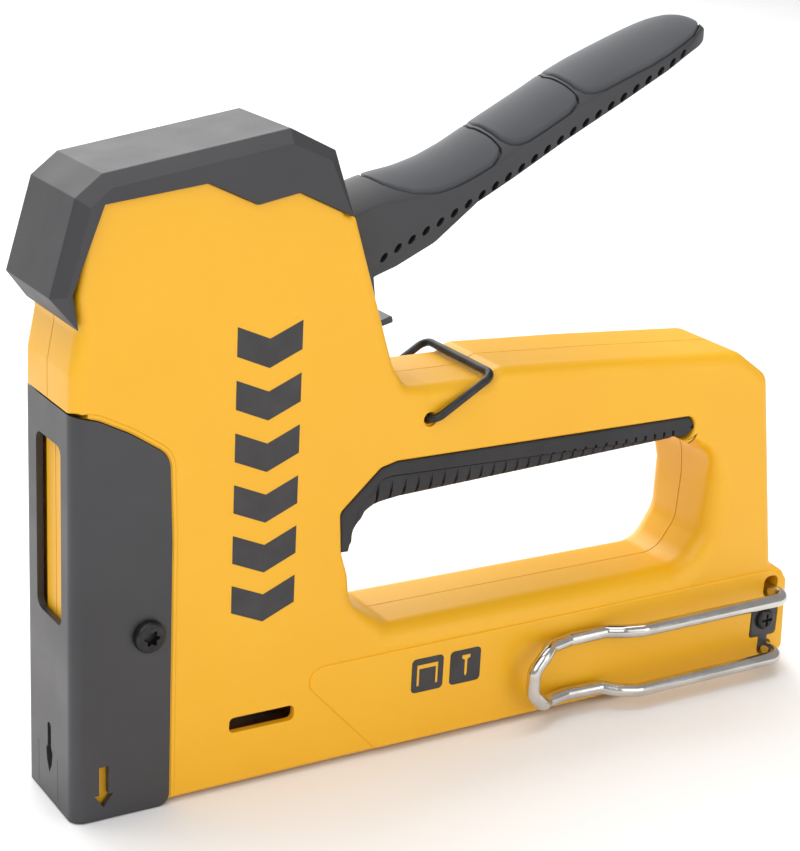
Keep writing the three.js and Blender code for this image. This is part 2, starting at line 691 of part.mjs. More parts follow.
// A bush fills one side of the slot and the lever's return spring the other, both around the cross pin.
const bush = crossBar(leverPinRadius + 2, ...leverPivot, coreHalf + gap, leverSlotHalf - gap, 20);
const bushBore = crossBar(leverPinRadius + gap, ...leverPivot, -beyond, beyond, 20);
add("pivot_bush", bush.subtract(bushBore), springSteel);
function returnSpring() {
  const [x, z] = leverPivot;
  const radius = leverPinRadius + 1.2;
  const diameter = 0.9;
  const [outer, inner] = [-leverSlotHalf + gap + diameter / 2, -coreHalf - gap - diameter / 2];
  return wire(new Coil([x, outer, z], [x, inner, z], radius, 2), diameter, 32, 6)
    .add(bar(diameter / 2, [x + radius, outer, z - 0.4], [x + radius, outer, z + 7], 6))
    .add(bar(diameter / 2, [x + radius, inner, z + 0.4], [x + radius, inner, z - 6], 6));
}
add("return_spring", returnSpring(), springSteel);

// ---------------------------------------------------------------- striker
function striker() {
  const forkLow = liftPinAt[1] + liftPinRadius + gap;
  const forkInner = armHalf + 2 * gap;
  const fork = (s) => {
    const [yLow, yHigh] = s < 0 ? [-liftPinHalf, -forkInner] : [forkInner, liftPinHalf];
    return box(plungerX + 3, liftPinAt[0] + 3.2, yLow, yHigh, forkLow, forkLow + 4);
  };
  const boreFloor = plungerFloor + 3.6;
  const bore = bar(plungerRadius - plungerWall, [plungerX, 0, boreFloor], [plungerX, 0, plungerTop + 5], 32);
  const slotRear = bladeX + bladeThick + gap;
  const bladeSlot = box(bladeX - 2, slotRear, -beyond, beyond, plungerFloor - 1, plungerFloor + 6);
  return bar(plungerRadius, [plungerX, 0, plungerFloor], [plungerX, 0, plungerTop], 32)
    .add(both(fork))
    .subtract(bore)
    .subtract(bladeSlot);
}
add("striker", striker(), springSteel);
const bladeFoot = 1.2;
const bladeTop = plungerFloor + 5.7;
const blade = box(bladeX, bladeX + bladeThick, -bladeHalf, bladeHalf, bladeFoot, bladeTop);
add("driver_blade", blade, springSteel);
const bumperFront = bladeX + bladeThick + 2 * gap;
const bumperHalf = plungerBore - 2 * gap;
const bumper = box(bumperFront, plungerRear + 1, -bumperHalf, bumperHalf, 43.5, plungerFloor - gap);
add("bumper", bumper, blackRubber);
const guideRadius = springRadius - springWire / 2 - 0.8;
function springSeat() {
  return box(5, plungerRear + 3.4, -leverSlotHalf + gap, leverSlotHalf - gap, seatBottom, seatTop)
    .add(bar(guideRadius, [plungerX, 0, plungerFloor + 32], [plungerX, 0, seatBottom + 1], 20));
}
add("spring_seat", springSeat(), blackMoulding);
const driveCoil = new Coil(
  [plungerX, 0, plungerFloor + 3.6 + gap + springWire / 2],
  [plungerX, 0, seatBottom - gap - springWire / 2],
  springRadius,
  springTurns,
);
add("drive_spring", wire(driveCoil, springWire, springTurns * 10, 6), springSteel);

// ---------------------------------------------------------------- lever lock and belt hook
function leverLock() {
  const [x, z] = bailBarAt(bailAngle);
  const inner = innerHalf - 0.4;
  const corners = [
    [bailPivot[0], -inner, bailPivot[1]],
    [bailPivot[0], -bailHalf, bailPivot[1]],
    [x, -bailHalf, z],
    [x, bailHalf, z],
    [bailPivot[0], bailHalf, bailPivot[1]],
    [bailPivot[0], inner, bailPivot[1]],
  ];
  return wire(bentRoute(corners, 2.6), bailWire, 48, 8);
}
add("lock_bail", leverLock(), coatedSteel);

function beltHook() {
  const tip = hookRear - hookLength + hookWire / 2;
  const slope = (hookHigh - hookLow) / 2 - 5;
  const run = (z, towards) => [
    [hookRear, -innerHalf - gap, z],
    [hookRear, -hookStandOff, z],
    [tip + 29.4, -hookStandOff, z],
    [tip + 22.9, -hookPinch, z + towards * 0.6],
    [tip + 10.9, -hookPinch, z + towards * 0.8],
    [tip + 2.4, -hookStandOff + 1.4, z + towards * 1.4],
    [tip, -hookStandOff + 0.8, z + towards * slope],
  ];
  return wire(bentRoute([...run(hookHigh, -1), ...run(hookLow, 1).reverse()], 2.4), hookWire, 90, 8);
}
add("belt_hook", beltHook(), brightWire);
const clampFace = bodyHalf + 0.3;
const clampPlate = across(clampOutline, -clampFace, -clampFace + 1.3);
add("hook_clamp", clampPlate.subtract(crossBar(1.3, ...clampScrewAt, -beyond, 0, 12)), coatedSteel);
const clampHead = { radius: 2.5, height: 1.4 };
const clampShank = { radius: 1.0, length: 3.6 };
add("hook_screw", screw(clampScrewAt, -1, clampHead, clampShank, clampFace + gap), blackScrew);

// ---------------------------------------------------------------- magazine
const trayFloor = 1.1;
function magazineTray() {
  const inner = magazineHalf - magazineWall;
  const section = [
    [-magazineHalf, trayFloor],
    [magazineHalf, trayFloor],
    [magazineHalf, lipBottom],
    [lipHalf, lipBottom],
    [lipHalf, magazineTop],
    [inner, magazineTop],
    [inner, trayFloor + magazineWall],
    [-inner, trayFloor + magazineWall],
    [-inner, magazineTop],
    [-lipHalf, magazineTop],
    [-lipHalf, lipBottom],
    [-magazineHalf, lipBottom],
  ];
  return lengthwise(section, magazineFront, magazineRear);
}
add("magazine_tray", magazineTray(), springSteel);
const railFloor = trayFloor + magazineWall + gap;
function stapleRail() {
  const inner = railHalf - railWall;
  const section = [
    [-railHalf, railFloor],
    [railHalf, railFloor],
    [railHalf, railTop],
    [inner, railTop],
    [inner, railFloor + railWall],
    [-inner, railFloor + railWall],
    [-inner, railTop],
    [-railHalf, railTop],
  ];
  return lengthwise(section, magazineFront, magazineRear - 2);
}
add("staple_rail", stapleRail(), springSteel);
const rodAt = 8.4; // height of the pusher's guide rod
const rodRadius = 0.9;
function pusher() {
  const outer = magazineHalf - magazineWall - gap;
  const tongueHalf = railHalf - railWall - gap;
  const [xLow, xHigh] = [magazineFront + gap, magazineFront + gap + pusherLength];
  return box(xLow, xHigh, -outer, outer, railFloor + 1, magazineTop - 0.4)
    .subtract(box(xLow - 1, xHigh + 1, -railHalf - gap, railHalf + gap, 0, railTop + gap))
    .add(box(xLow + 2, xHigh - 2, -tongueHalf, tongueHalf, rodAt - 2.4, railTop + 1))
    .subtract(bar(rodRadius + gap, [0, 0, rodAt], [40, 0, rodAt], 14));
}
add("staple_pusher", pusher(), blackMoulding);
const pusherRod = bar(rodRadius, [magazineFront + gap, 0, rodAt], [magazineRear - 2, 0, rodAt], 12);
add("pusher_rod", pusherRod, springSteel);
const rodCoilTurns = 26;
const rodCoilRadius = rodRadius + 1;
const coilFront = magazineFront + pusherLength - 2 + 3 * gap;
const pusherCoil = new Coil([coilFront, 0, rodAt], [magazineRear - 3, 0, rodAt], rodCoilRadius, rodCoilTurns);
add("pusher_spring", wire(pusherCoil, 0.6, rodCoilTurns * 6, 5), springSteel);
const latchFace = bodyLength - 0.5;
function magazineLatch() {
  const grip = across(
    [[latchFace - 4, 5], [latchFace + 1, 6.4], [latchFace + 1, 11.4], [latchFace - 4, 12.8]],
    -5.2, 5.2,
  );
  return box(magazineRear + gap, latchFace, -latchHalf, latchHalf, trayFloor, latchTop).subtract(grip);
}
add("magazine_latch", magazineLatch(), blackMoulding);

// The origin sits in the middle of the cover's front bottom edge.
part.position.x = -coverWall / 2;

export default part;
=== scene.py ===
import functools
import json
import math

import bmesh
import bpy
import numpy as np
from mathutils import Matrix, Vector
from mathutils.geometry import tessellate_polygon


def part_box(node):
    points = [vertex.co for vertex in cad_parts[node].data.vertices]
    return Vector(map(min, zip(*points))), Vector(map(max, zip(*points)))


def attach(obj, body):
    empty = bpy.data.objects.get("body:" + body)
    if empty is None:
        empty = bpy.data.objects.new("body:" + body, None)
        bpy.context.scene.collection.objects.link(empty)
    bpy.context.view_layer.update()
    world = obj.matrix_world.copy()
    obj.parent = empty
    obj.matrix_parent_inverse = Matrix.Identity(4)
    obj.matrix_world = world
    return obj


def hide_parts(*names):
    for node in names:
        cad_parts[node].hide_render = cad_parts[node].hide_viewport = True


bl_info = {
    "name": "Staple gun looks",
    "version": (1, 0, 0),
    "blender": (4, 5, 0),
    "location": "View3D > Sidebar > Staple gun",
    "description": "Builds the finished surfaces of a hand staple gun round its packed frame",
    "category": "Object",
}

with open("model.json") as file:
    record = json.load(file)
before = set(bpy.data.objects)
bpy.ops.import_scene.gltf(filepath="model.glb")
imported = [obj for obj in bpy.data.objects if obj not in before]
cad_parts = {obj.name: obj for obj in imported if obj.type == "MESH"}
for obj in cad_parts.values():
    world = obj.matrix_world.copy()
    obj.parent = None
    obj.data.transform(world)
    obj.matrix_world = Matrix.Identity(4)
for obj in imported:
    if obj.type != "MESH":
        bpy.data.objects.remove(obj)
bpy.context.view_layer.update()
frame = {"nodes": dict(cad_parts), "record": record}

MM = 0.001
COVER_LOW, COVER_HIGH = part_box("nose_cover")
# Sizes below are millimetres from the front bottom edge of the nose cover.
ORIGIN = (COVER_LOW.x, 0, COVER_LOW.z)
PLACE = Matrix.Translation(ORIGIN) @ Matrix.Scale(MM, 4)


def corners_of(node):
    """The low and the high corner of a node's box."""
    return [[(at - start) / MM for at, start in zip(corner, ORIGIN)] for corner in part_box(node)]


def centre_of(node):
    """The middle of a node's box."""
    return [(low + high) / 2 for low, high in zip(*corners_of(node))]


COVER_HALF = COVER_HIGH.y / MM
BODY_LENGTH, BODY_HALF = corners_of("housing_right")[1][:2]
BODY_FLOOR = corners_of("housing_left")[0][2]
CAP_HALF = corners_of("top_cap")[1][1]
SEAM = 0.14  # half the parting line between the housing halves
RECESS = 11.1  # half width of the housing under the cover and the cap
PROUD = 0.45  # how far the lower belt of the housing stands out
FILM = 0.06  # thickness of the ink
CASE_SCREWS = [f"case_screw_{i}" for i in range(1, 8)]
LOCK_PIVOT = Vector((82.1, 78))
LEVER_PIVOT = Vector((56.4, 106))

# Corners are (x, z, bend radius, rim rounding).
HOUSING_SIDE = [
    (1.8, BODY_FLOOR, 0, 0.8), (1.8, 89.3, 0, 0.8), (0.1, 89.3, 0, 2.4), (0.1, 97, 6, 2.6),
    (1.6, 105.2, 4, 2.8), (1.2, 112.5, 3, 1.6), (4.3, 130.2, 0, 1.2), (8.8, 133.5, 0, 1.2),
    (46.2, 139.7, 0, 1.2), (54.2, 135.8, 0, 1.2), (59.2, 124.8, 0, 1.2), (61.9, 124, 2.2, 1.6),
    (72.7, 90.4, 4, 1.8), (76.3, 85.5, 3, 2.4), (82, 85.2, 4, 3.2), (96.8, 85.2, 1.5, 3.2),
    (100.2, 87.1, 3.4, 2.8), (130, 85.6, 20, 2.4), (167.6, 83.2, 6, 2.6), (177.2, 76.4, 4, 2.6),
    (184.6, 27, 2.4, 2.0), (189.8, 23.5, 2.6, 1.6), (BODY_LENGTH, 4, 2.5, 1.4), (189, BODY_FLOOR, 1.8, 1.4),
    (60, BODY_FLOOR, 0, 1.4),
]
FINGER_OPENING = [
    (63.6, 45, 6, 1.6), (61.6, 50.4, 1, 0.8), (61, 59.6, 2, 0.8), (70.5, 68.4, 2, 0.8), (74.5, 69.4, 3, 0.8),
    (150, 69.2, 0, 0.8), (155.6, 69.2, 2.4, 0.8), (155.6, 64, 2.2, 0.8), (152.6, 63.4, 0, 0.8),
    (157, 62.6, 4, 1.6), (162.6, 58, 6, 2.6), (163.4, 50, 8, 4.2), (162.8, 38, 7, 5), (157.4, 30.3, 7, 5.4),
    (110, 30.3, 0, 5), (75.5, 30.3, 4, 4.6), (65.4, 37.2, 7, 3),
]
COVER_SIDE = [(0, 0, 0, 0), (0, 89, 0, 0), (5.6, 87.5, 8, 0), (12.4, 84, 16, 0), (20.9, 78.4, 5.5, 0),
              (21.6, 60, 4, 0), (21.6, 0, 2.6, 0)]
CAP_SKIRT = [(60.6, 124.1, 0, 0.4), (48.2, 130, 0, 0.3), (39, 128.2, 0, 0.3), (28.1, 133.2, 0, 0.3),
             (6.6, 130.6, 0, 0.3), (0.1, 113.6, 0, 0.3), (1.2, 106.4, 0, 0.3)]
CAP_SIDE = [(-3.9, 112.8, 0, 2.4), (1.4, 131.7, 0, 2.6), (6.9, 136.1, 0, 2.6), (46.6, 142.6, 0, 2.6),
            (56.7, 137.7, 0, 2.2)] + CAP_SKIRT
INSERT_BAND = [
    (61.6, 50.3, 0, 0.5), (61.1, 59.4, 2, 0.6), (70.6, 68.2, 2, 0.6), (74.6, 69.3, 3, 0.6),
    (150, 69.1, 0, 0.7), (155.4, 69.1, 2.5, 0.7), (155.4, 64.1, 2.3, 0.7), (150.3, 64.6, 0, 0.5),
    (73.2, 66.1, 3, 0.5), (71, 65.6, 2, 0.5), (65.2, 59.6, 3, 0.5), (64.4, 55, 0, 0.5), (63.4, 50.3, 0, 0.5),
]
INSERT_KEEL = [
    (63.8, 60, 0, 0.4), (71, 67.4, 0, 0.4), (152, 67.4, 0, 0.4), (153.4, 64.9, 0, 1.2), (150, 63.6, 3, 1.6),
    (77, 59.8, 10, 3.2), (70.4, 59.1, 8, 3), (65.8, 55.4, 6, 1.6), (64.5, 51.4, 0, 0.5),
    (63.8, 51.4, 0, 0.5),
]


# ------------------------------------------------------------------ meshes
def linked(name, mesh):
    piece = bpy.data.objects.new(name, mesh)
    bpy.context.scene.collection.objects.link(piece)
    return piece


def baked(piece):
    """The piece with its modifiers turned into a plain mesh."""
    graph = bpy.context.evaluated_depsgraph_get()
    mesh = bpy.data.meshes.new_from_object(piece.evaluated_get(graph))
    piece.modifiers.clear()
    old = piece.data
    piece.data = mesh
    if old.users == 0:
        bpy.data.meshes.remove(old)
    return piece


def mesh_from(name, points, faces):
    """A piece from points and faces, with doubles merged and its faces turned outwards."""
    mesh = bpy.data.meshes.new(name)
    mesh.from_pydata([tuple(p) for p in points], [], faces)
    tidy = bmesh.new()
    tidy.from_mesh(mesh)
    bmesh.ops.remove_doubles(tidy, verts=tidy.verts, dist=1e-4)
    bmesh.ops.recalc_face_normals(tidy, faces=tidy.faces)
    tidy.to_mesh(mesh)
    tidy.free()
    return linked(name, mesh)


def bent_loop(corners, steps=7):
    """Corners with bends as dense points (x, z, rim), counter-clockwise."""
    points = []
    for i, (x, z, radius, rim) in enumerate(corners):
        here = Vector((x, z))
        if radius <= 0:
            points.append((x, z, rim))
            continue
        back = (Vector(corners[i - 1][:2]) - here).normalized()
        ahead = (Vector(corners[(i + 1) % len(corners)][:2]) - here).normalized()
        half = math.acos(max(-1.0, min(1.0, back.dot(ahead)))) / 2
        centre = here + (back + ahead).normalized() * radius / math.sin(half)
        start = here + back * radius / math.tan(half) - centre
        end = here + ahead * radius / math.tan(half) - centre
        first = math.atan2(start.y, start.x)
        turn = (math.atan2(end.y, end.x) - first + math.pi) % (2 * math.pi) - math.pi
        for k in range(steps + 1):
            angle = first + turn * k / steps
            points.append((centre.x + radius * math.cos(angle), centre.y + radius * math.sin(angle), rim))
    loop = np.array(points)
    turned = np.roll(loop, -1, 0)
    if (loop[:, 0] * turned[:, 1] - turned[:, 0] * loop[:, 1]).sum() < 0:
        loop = loop[::-1]
    return loop


def drawn_in(loop, distance):
    """The loop's points moved inwards by a distance each."""
    here = loop[:, :2]
    before = here - np.roll(here, 1, 0)
    after = np.roll(here, -1, 0) - here
    before /= np.maximum(np.linalg.norm(before, axis=1), 1e-9)[:, None]
    after /= np.maximum(np.linalg.norm(after, axis=1), 1e-9)[:, None]
    mitre = np.stack([-before[:, 1] - after[:, 1], before[:, 0] + after[:, 0]], 1)
    mitre *= (2 / np.maximum((mitre ** 2).sum(1), 0.4))[:, None]
    return here + mitre * np.broadcast_to(distance, len(loop))[:, None]


def grown(corners, distance):
    """Corners of an outline moved outwards, with no rims."""
    sharp = np.array([(x, z, 0) for x, z, _, _ in corners])
    turned = np.roll(sharp, -1, 0)
    side = 1 if (sharp[:, 0] * turned[:, 1] - turned[:, 0] * sharp[:, 1]).sum() > 0 else -1
    moved = drawn_in(sharp, -distance * side)
    return [(x, z, radius, 0) for (x, z), (_, _, radius, _) in zip(moved, corners)]


TURN = {
    "side": lambda a, b, depth: (a, depth, b),
    "plan": lambda a, b, depth: (a, b, depth),
    "front": lambda a, b, depth: (depth, a, b),
}


def banded(first, rows, count):
    """The faces between rings of points that follow each other."""
    faces = []
    for start in range(first, first + (rows - 1) * count, count):
        for i in range(count):
            j = (i + 1) % count
            faces.append((start + i, start + j, start + count + j, start + count + i))
    return faces


def slab(name, corners, low, high, holes=(), rims=(1, 1), steps=5, plane="side", bend_steps=7):
    """A plate between two planes.

    Each rim is rounded by its corners' own width, times a factor for each face.
    """
    loops = [bent_loop(corners, bend_steps)] + [bent_loop(hole, bend_steps)[::-1] for hole in holes]
    rows = []
    for end, (plane_at, sign, factor) in enumerate([(low, 1, rims[0]), (high, -1, rims[1])]):
        if factor:
            turns = [k / steps * math.pi / 2 for k in range(steps + 1)]
            arc = [(1 - math.sin(turn), 1 - math.cos(turn)) for turn in turns]
            part = [(factor, 0.3, plane_at, 0)]
            part += [(inset * factor, 0, plane_at, sign * fall * factor) for inset, fall in arc]
        else:
            part = [(0, 0, plane_at, 0)]
        rows += part if end == 0 else part[::-1]
    points, faces = [], []
    starts = []
    for loop in loops:
        first = len(points)
        count = len(loop)
        starts.append((first, count))
        for inset, extra, plane_at, fall in rows:
            moved = drawn_in(loop, loop[:, 2] * inset + extra)
            points += [TURN[plane](a, b, plane_at + fall * rim) for (a, b), rim in zip(moved, loop[:, 2])]
        faces += banded(first, len(rows), count)
    for row in (0, len(rows) - 1):
        rings = [[Vector(points[first + row * count + i]) for i in range(count)] for first, count in starts]
        index = [first + row * count + i for first, count in starts for i in range(count)]
        flat = {"side": (0, 2), "plan": (0, 1), "front": (1, 2)}[plane]
        plain = [[Vector((p[flat[0]], p[flat[1]], 0)) for p in ring] for ring in rings]
        faces += [tuple(index[i] for i in face) for face in tessellate_polygon(plain)]
    return mesh_from(name, points, faces)


def crisp(name, corners, low, high, **settings):
    """A plate with crisp rims. Corners may leave out the bend and the rim."""
    return slab(name, [(*corner, 0, 0)[:4] for corner in corners], low, high, rims=(0, 0), **settings)


def framed(low, high, bend=0):
    """The four corners of a rectangle."""
    (x0, z0), (x1, z1) = low, high
    return [(x0, z0, bend), (x1, z0, bend), (x1, z1, bend), (x0, z1, bend)]


def box_of(name, low, high):
    (x0, y0, z0), (x1, y1, z1) = low, high
    return crisp(name, framed((x0, z0), (x1, z1)), y0, y1)


def bored(name, centre, axis, radius, low, high, sides=28):
    """A round bar along X, Y or Z, as a tool for holes."""
    plane = {"x": "front", "y": "side", "z": "plan"}[axis]
    turns = [2 * math.pi * k / sides for k in range(sides)]
    ring = [(centre[0] + radius * math.cos(a), centre[1] + radius * math.sin(a)) for a in turns]
    return crisp(name, ring, low, high, plane=plane)


def combined(piece, tool, operation="DIFFERENCE"):
    """The piece cut by a tool, or joined with it."""
    step = piece.modifiers.new("combine", "BOOLEAN")
    step.operation = operation
    step.solver = "MANIFOLD"
    step.object = tool
    baked(piece)
    mesh = tool.data
    bpy.data.objects.remove(tool)
    bpy.data.meshes.remove(mesh)
    if not piece.data.polygons:
        raise RuntimeError(f"{piece.name} vanished when it was combined")
    return piece


def softened(piece, width, segments=2, angle=40):
    """Small rounding along every crisp edge."""
    tidy = bmesh.new()
    tidy.from_mesh(piece.data)
    bmesh.ops.dissolve_limit(tidy, angle_limit=math.radians(0.5), verts=tidy.verts, edges=tidy.edges)
    tidy.to_mesh(piece.data)
    tidy.free()
    bevel = piece.modifiers.new("edge", "BEVEL")
    bevel.width = width
    bevel.segments = segments
    bevel.limit_method = "ANGLE"
    bevel.angle_limit = math.radians(angle)
    bevel.use_clamp_overlap = True
    return baked(piece)


def finished(piece, material, body, nodes=(), angle=35, weighted=True):
    """Puts a piece in place, shades it, hangs it on its body and hides the nodes it stands for."""
    piece.data.transform(PLACE)
    piece.data.materials.clear()
    piece.data.materials.append(material)
    for face in piece.data.polygons:
        face.material_index = 0
    piece.data.shade_smooth()
    piece.data.set_sharp_from_angle(angle=math.radians(angle))
    if weighted:
        shading = piece.modifiers.new("shading", "WEIGHTED_NORMAL")
        shading.keep_sharp = True
        baked(piece)
    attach(piece, body)
    if nodes:
        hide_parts(*nodes)
    return piece


# ------------------------------------------------------------------ node trees
def add_node(tree, kind, inputs=None, **settings):
    """A node with its settings, its input values and its links."""
    made = tree.nodes.new(kind)
    for key, value in settings.items():
        setattr(made, key, value)
    for key, value in (inputs or {}).items():
        if isinstance(value, bpy.types.NodeSocket):
            tree.links.new(value, made.inputs[key])
        else:
            made.inputs[key].default_value = value
    return made


def shape_tree(name, sizes):
    """An empty geometry tree with named inputs: (name, socket type, value)."""
    tree = bpy.data.node_groups.new(name, "GeometryNodeTree")
    tree.interface.new_socket("Geometry", in_out="INPUT", socket_type="NodeSocketGeometry")
    for label, kind, value in sizes:
        made = tree.interface.new_socket(label, in_out="INPUT", socket_type=kind)
        if value is not None:
            made.default_value = value
    tree.interface.new_socket("Geometry", in_out="OUTPUT", socket_type="NodeSocketGeometry")
    return tree, add_node(tree, "NodeGroupInput"), add_node(tree, "NodeGroupOutput")


def closed_tree(tree, given, ending, geometry):
    """Ends a tree in real geometry with its material."""
    real = add_node(tree, "GeometryNodeRealizeInstances", {"Geometry": geometry})
    painted = add_node(tree, "GeometryNodeSetMaterial", {
        "Geometry": real.outputs[0], "Material": given.outputs["Material"]})
    tree.links.new(painted.outputs[0], ending.inputs[0])
    return tree


def grown_from(name, tree, values, points=(), edges=()):
    """Runs a tree on a line of points and keeps the plain mesh."""
    mesh = bpy.data.meshes.new(name)
    mesh.from_pydata([tuple(p) for p in points], list(edges), [])
    piece = linked(name, mesh)
    step = piece.modifiers.new("shape", "NODES")
    step.node_group = tree
    names = {item.name: item.identifier for item in tree.interface.items_tree
             if item.item_type == "SOCKET" and item.in_out == "INPUT"}
    for label, value in values.items():
        step[names[label]] = value
    return baked(piece)


@functools.cache
def wire_tree():
    """Round wire along a line of points, with bends of one radius."""
    tree, given, ending = shape_tree("wire along a path", [
        ("Wire radius", "NodeSocketFloat", 1.0), ("Bend radius", "NodeSocketFloat", 3.0),
        ("Bend steps", "NodeSocketInt", 8), ("Sides", "NodeSocketInt", 20),
        ("Material", "NodeSocketMaterial", None)])
    line = add_node(tree, "GeometryNodeMeshToCurve", {"Mesh": given.outputs["Geometry"]})
    bends = add_node(tree, "GeometryNodeFilletCurve", {
        "Curve": line.outputs[0], "Radius": given.outputs["Bend radius"],
        "Count": given.outputs["Bend steps"],
        "Limit Radius": True}, mode="POLY")
    ring = add_node(tree, "GeometryNodeCurvePrimitiveCircle", {
        "Resolution": given.outputs["Sides"], "Radius": given.outputs["Wire radius"]})
    wire = add_node(tree, "GeometryNodeCurveToMesh", {
        "Curve": bends.outputs[0], "Profile Curve": ring.outputs["Curve"], "Fill Caps": True})
    return closed_tree(tree, given, ending, wire.outputs[0])


@functools.cache
def coil_tree():
    """A coil of wire along Z, moved and turned into place."""
    tree, given, ending = shape_tree("coil of wire", [
        ("Wire radius", "NodeSocketFloat", 1.0), ("Coil radius", "NodeSocketFloat", 5.0),
        ("Turns", "NodeSocketFloat", 8.0), ("Height", "NodeSocketFloat", 20.0),
        ("Foot", "NodeSocketVector", (0, 0, 0)), ("Turn", "NodeSocketVector", (0, 0, 0)),
        ("Material", "NodeSocketMaterial", None)])
    spiral = add_node(tree, "GeometryNodeCurveSpiral", {
        "Resolution": 24, "Rotations": given.outputs["Turns"], "Start Radius": given.outputs["Coil radius"],
        "End Radius": given.outputs["Coil radius"], "Height": given.outputs["Height"]})
    ring = add_node(tree, "GeometryNodeCurvePrimitiveCircle", {
        "Resolution": 10, "Radius": given.outputs["Wire radius"]})
    wire = add_node(tree, "GeometryNodeCurveToMesh", {
        "Curve": spiral.outputs[0], "Profile Curve": ring.outputs["Curve"], "Fill Caps": True})
    placed = add_node(tree, "GeometryNodeTransform", {
        "Geometry": wire.outputs[0], "Translation": given.outputs["Foot"], "Rotation": given.outputs["Turn"]})
    return closed_tree(tree, given, ending, placed.outputs[0])


@functools.cache
def copies_tree():
    """A copy of one shape at each point of a line."""
    tree, given, ending = shape_tree("copies along a line", [
        ("Shape", "NodeSocketObject", None), ("Turn", "NodeSocketVector", (0, 0, 0)),
        ("Material", "NodeSocketMaterial", None)])
    shape = add_node(tree, "GeometryNodeObjectInfo", {"Object": given.outputs["Shape"], "As Instance": True},
                     transform_space="ORIGINAL")
    set_out = add_node(tree, "GeometryNodeInstanceOnPoints", {
        "Points": given.outputs["Geometry"], "Instance": shape.outputs["Geometry"],
        "Rotation": given.outputs["Turn"]})
    return closed_tree(tree, given, ending, set_out.outputs[0])


def bent_wire(name, path, wire, bend, material, steps=8, sides=20):
    """Wire of one diameter along a path."""
    values = {"Wire radius": wire / 2, "Bend radius": bend, "Bend steps": steps, "Sides": sides,
              "Material": material}
    return grown_from(name, wire_tree(), values, path, [(i, i + 1) for i in range(len(path) - 1)])


def copied(name, shape, spots, material, turn=(0, 0, 0)):
    """One piece made of copies of a shape, which is then removed."""
    piece = grown_from(name, copies_tree(), {"Shape": shape, "Turn": turn, "Material": material}, spots)
    bpy.data.objects.remove(shape)
    return piece


def linear(code):
    """An sRGB hex colour as linear light."""
    parts = [int(code[i:i + 2], 16) / 255 for i in (0, 2, 4)]
    return (*[((c + 0.055) / 1.055) ** 2.4 if c > 0.04045 else c / 12.92 for c in parts], 1)


def finish_tree(name, roughness, metallic=0.0, ior=1.45):
    """A material and its look: the tree, the shader and the place on the object."""
    material = bpy.data.materials.new(name)
    material.use_nodes = True
    tree = material.node_tree
    shader = tree.nodes["Principled BSDF"]
    shader.inputs["Roughness"].default_value = roughness
    shader.inputs["Metallic"].default_value = metallic
    if not metallic:
        shader.inputs["IOR"].default_value = ior
    place = add_node(tree, "ShaderNodeTexCoord").outputs["Object"]
    return material, (tree, shader, place)


def clouded(look, scale, light, dark, low=0.3, high=0.7):
    """Two colours that drift into each other."""
    tree, shader, place = look
    noise = add_node(tree, "ShaderNodeTexNoise", {
        "Vector": place, "Scale": scale, "Detail": 4, "Roughness": 0.55})
    ramp = add_node(tree, "ShaderNodeValToRGB", {"Fac": noise.outputs["Fac"]})
    for stop, at, code in zip(ramp.color_ramp.elements, (low, high), (dark, light)):
        stop.position = at
        stop.color = linear(code)
    tree.links.new(ramp.outputs["Color"], shader.inputs["Base Color"])


def smeared(look, scale, detail, low, high):
    """Roughness that wanders between two limits."""
    tree, shader, place = look
    noise = add_node(tree, "ShaderNodeTexNoise", {"Vector": place, "Scale": scale, "Detail": detail})
    spread = add_node(tree, "ShaderNodeMapRange", {
        "Value": noise.outputs["Fac"], "From Min": 0.3, "From Max": 0.7, "To Min": low, "To Max": high})
    tree.links.new(spread.outputs["Result"], shader.inputs["Roughness"])


def grained(look, scale, strength, depth, **settings):
    """A relief on the surface, depth in metres."""
    tree, shader, place = look
    wave = add_node(tree, "ShaderNodeTexNoise", {"Vector": place, "Scale": scale, **settings})
    bump = add_node(tree, "ShaderNodeBump", {
        "Height": wave.outputs["Fac"], "Strength": strength, "Distance": depth})
    tree.links.new(bump.outputs["Normal"], shader.inputs["Normal"])


def yellow_abs(sizes):
    # Injection-moulded ABS from a lightly sparked tool: an even warm yellow with a soft satin sheen.
    material, look = finish_tree("moulded yellow ABS", 0.42, ior=1.53)
    clouded(look, 22, sizes.yellow_light, sizes.yellow_dark)
    # Spark grain is about 0.05 mm across, drawn at 0.25 mm so that it shows.
    smeared(look, 60, 3, 0.36, 0.48)
    grained(look, 4000, 0.18, 0.00004, Detail=2, Roughness=0.6)
    return material


def black_nylon(sizes):
    # Glass-filled nylon from a textured tool: charcoal with a dull grey sheen.
    material, look = finish_tree("moulded black nylon", 0.52, ior=1.53)
    clouded(look, 40, "343336", "2f2e31")
    smeared(look, 120, 4, 0.5, 0.56)
    # Erosion texture of 0.1 mm pits, drawn at 0.3 mm.
    grained(look, 3200, 0.3, 0.00006, Detail=2)
    return material


def soft_pads(sizes):
    # Overmoulded thermoplastic elastomer: matt slate grey that scatters light softly.
    material, look = finish_tree("soft overmoulded elastomer", 0.62, ior=1.5)
    shader = look[1]
    shader.inputs["Sheen Weight"].default_value = 0.12
    shader.inputs["Sheen Roughness"].default_value = 0.5
    clouded(look, 35, "45474b", "3c3e42")
    grained(look, 5200, 0.25, 0.00004, Detail=2)
    return material


def black_rubber(sizes):
    # Cured nitrile rubber: matt black with a faint grey bloom.
    material, look = finish_tree("cured black rubber", 0.7, ior=1.52)
    clouded(look, 60, "2d2b2e", "201f22", 0.3, 0.72)
    grained(look, 2600, 0.25, 0.00006, Detail=3)
    return material


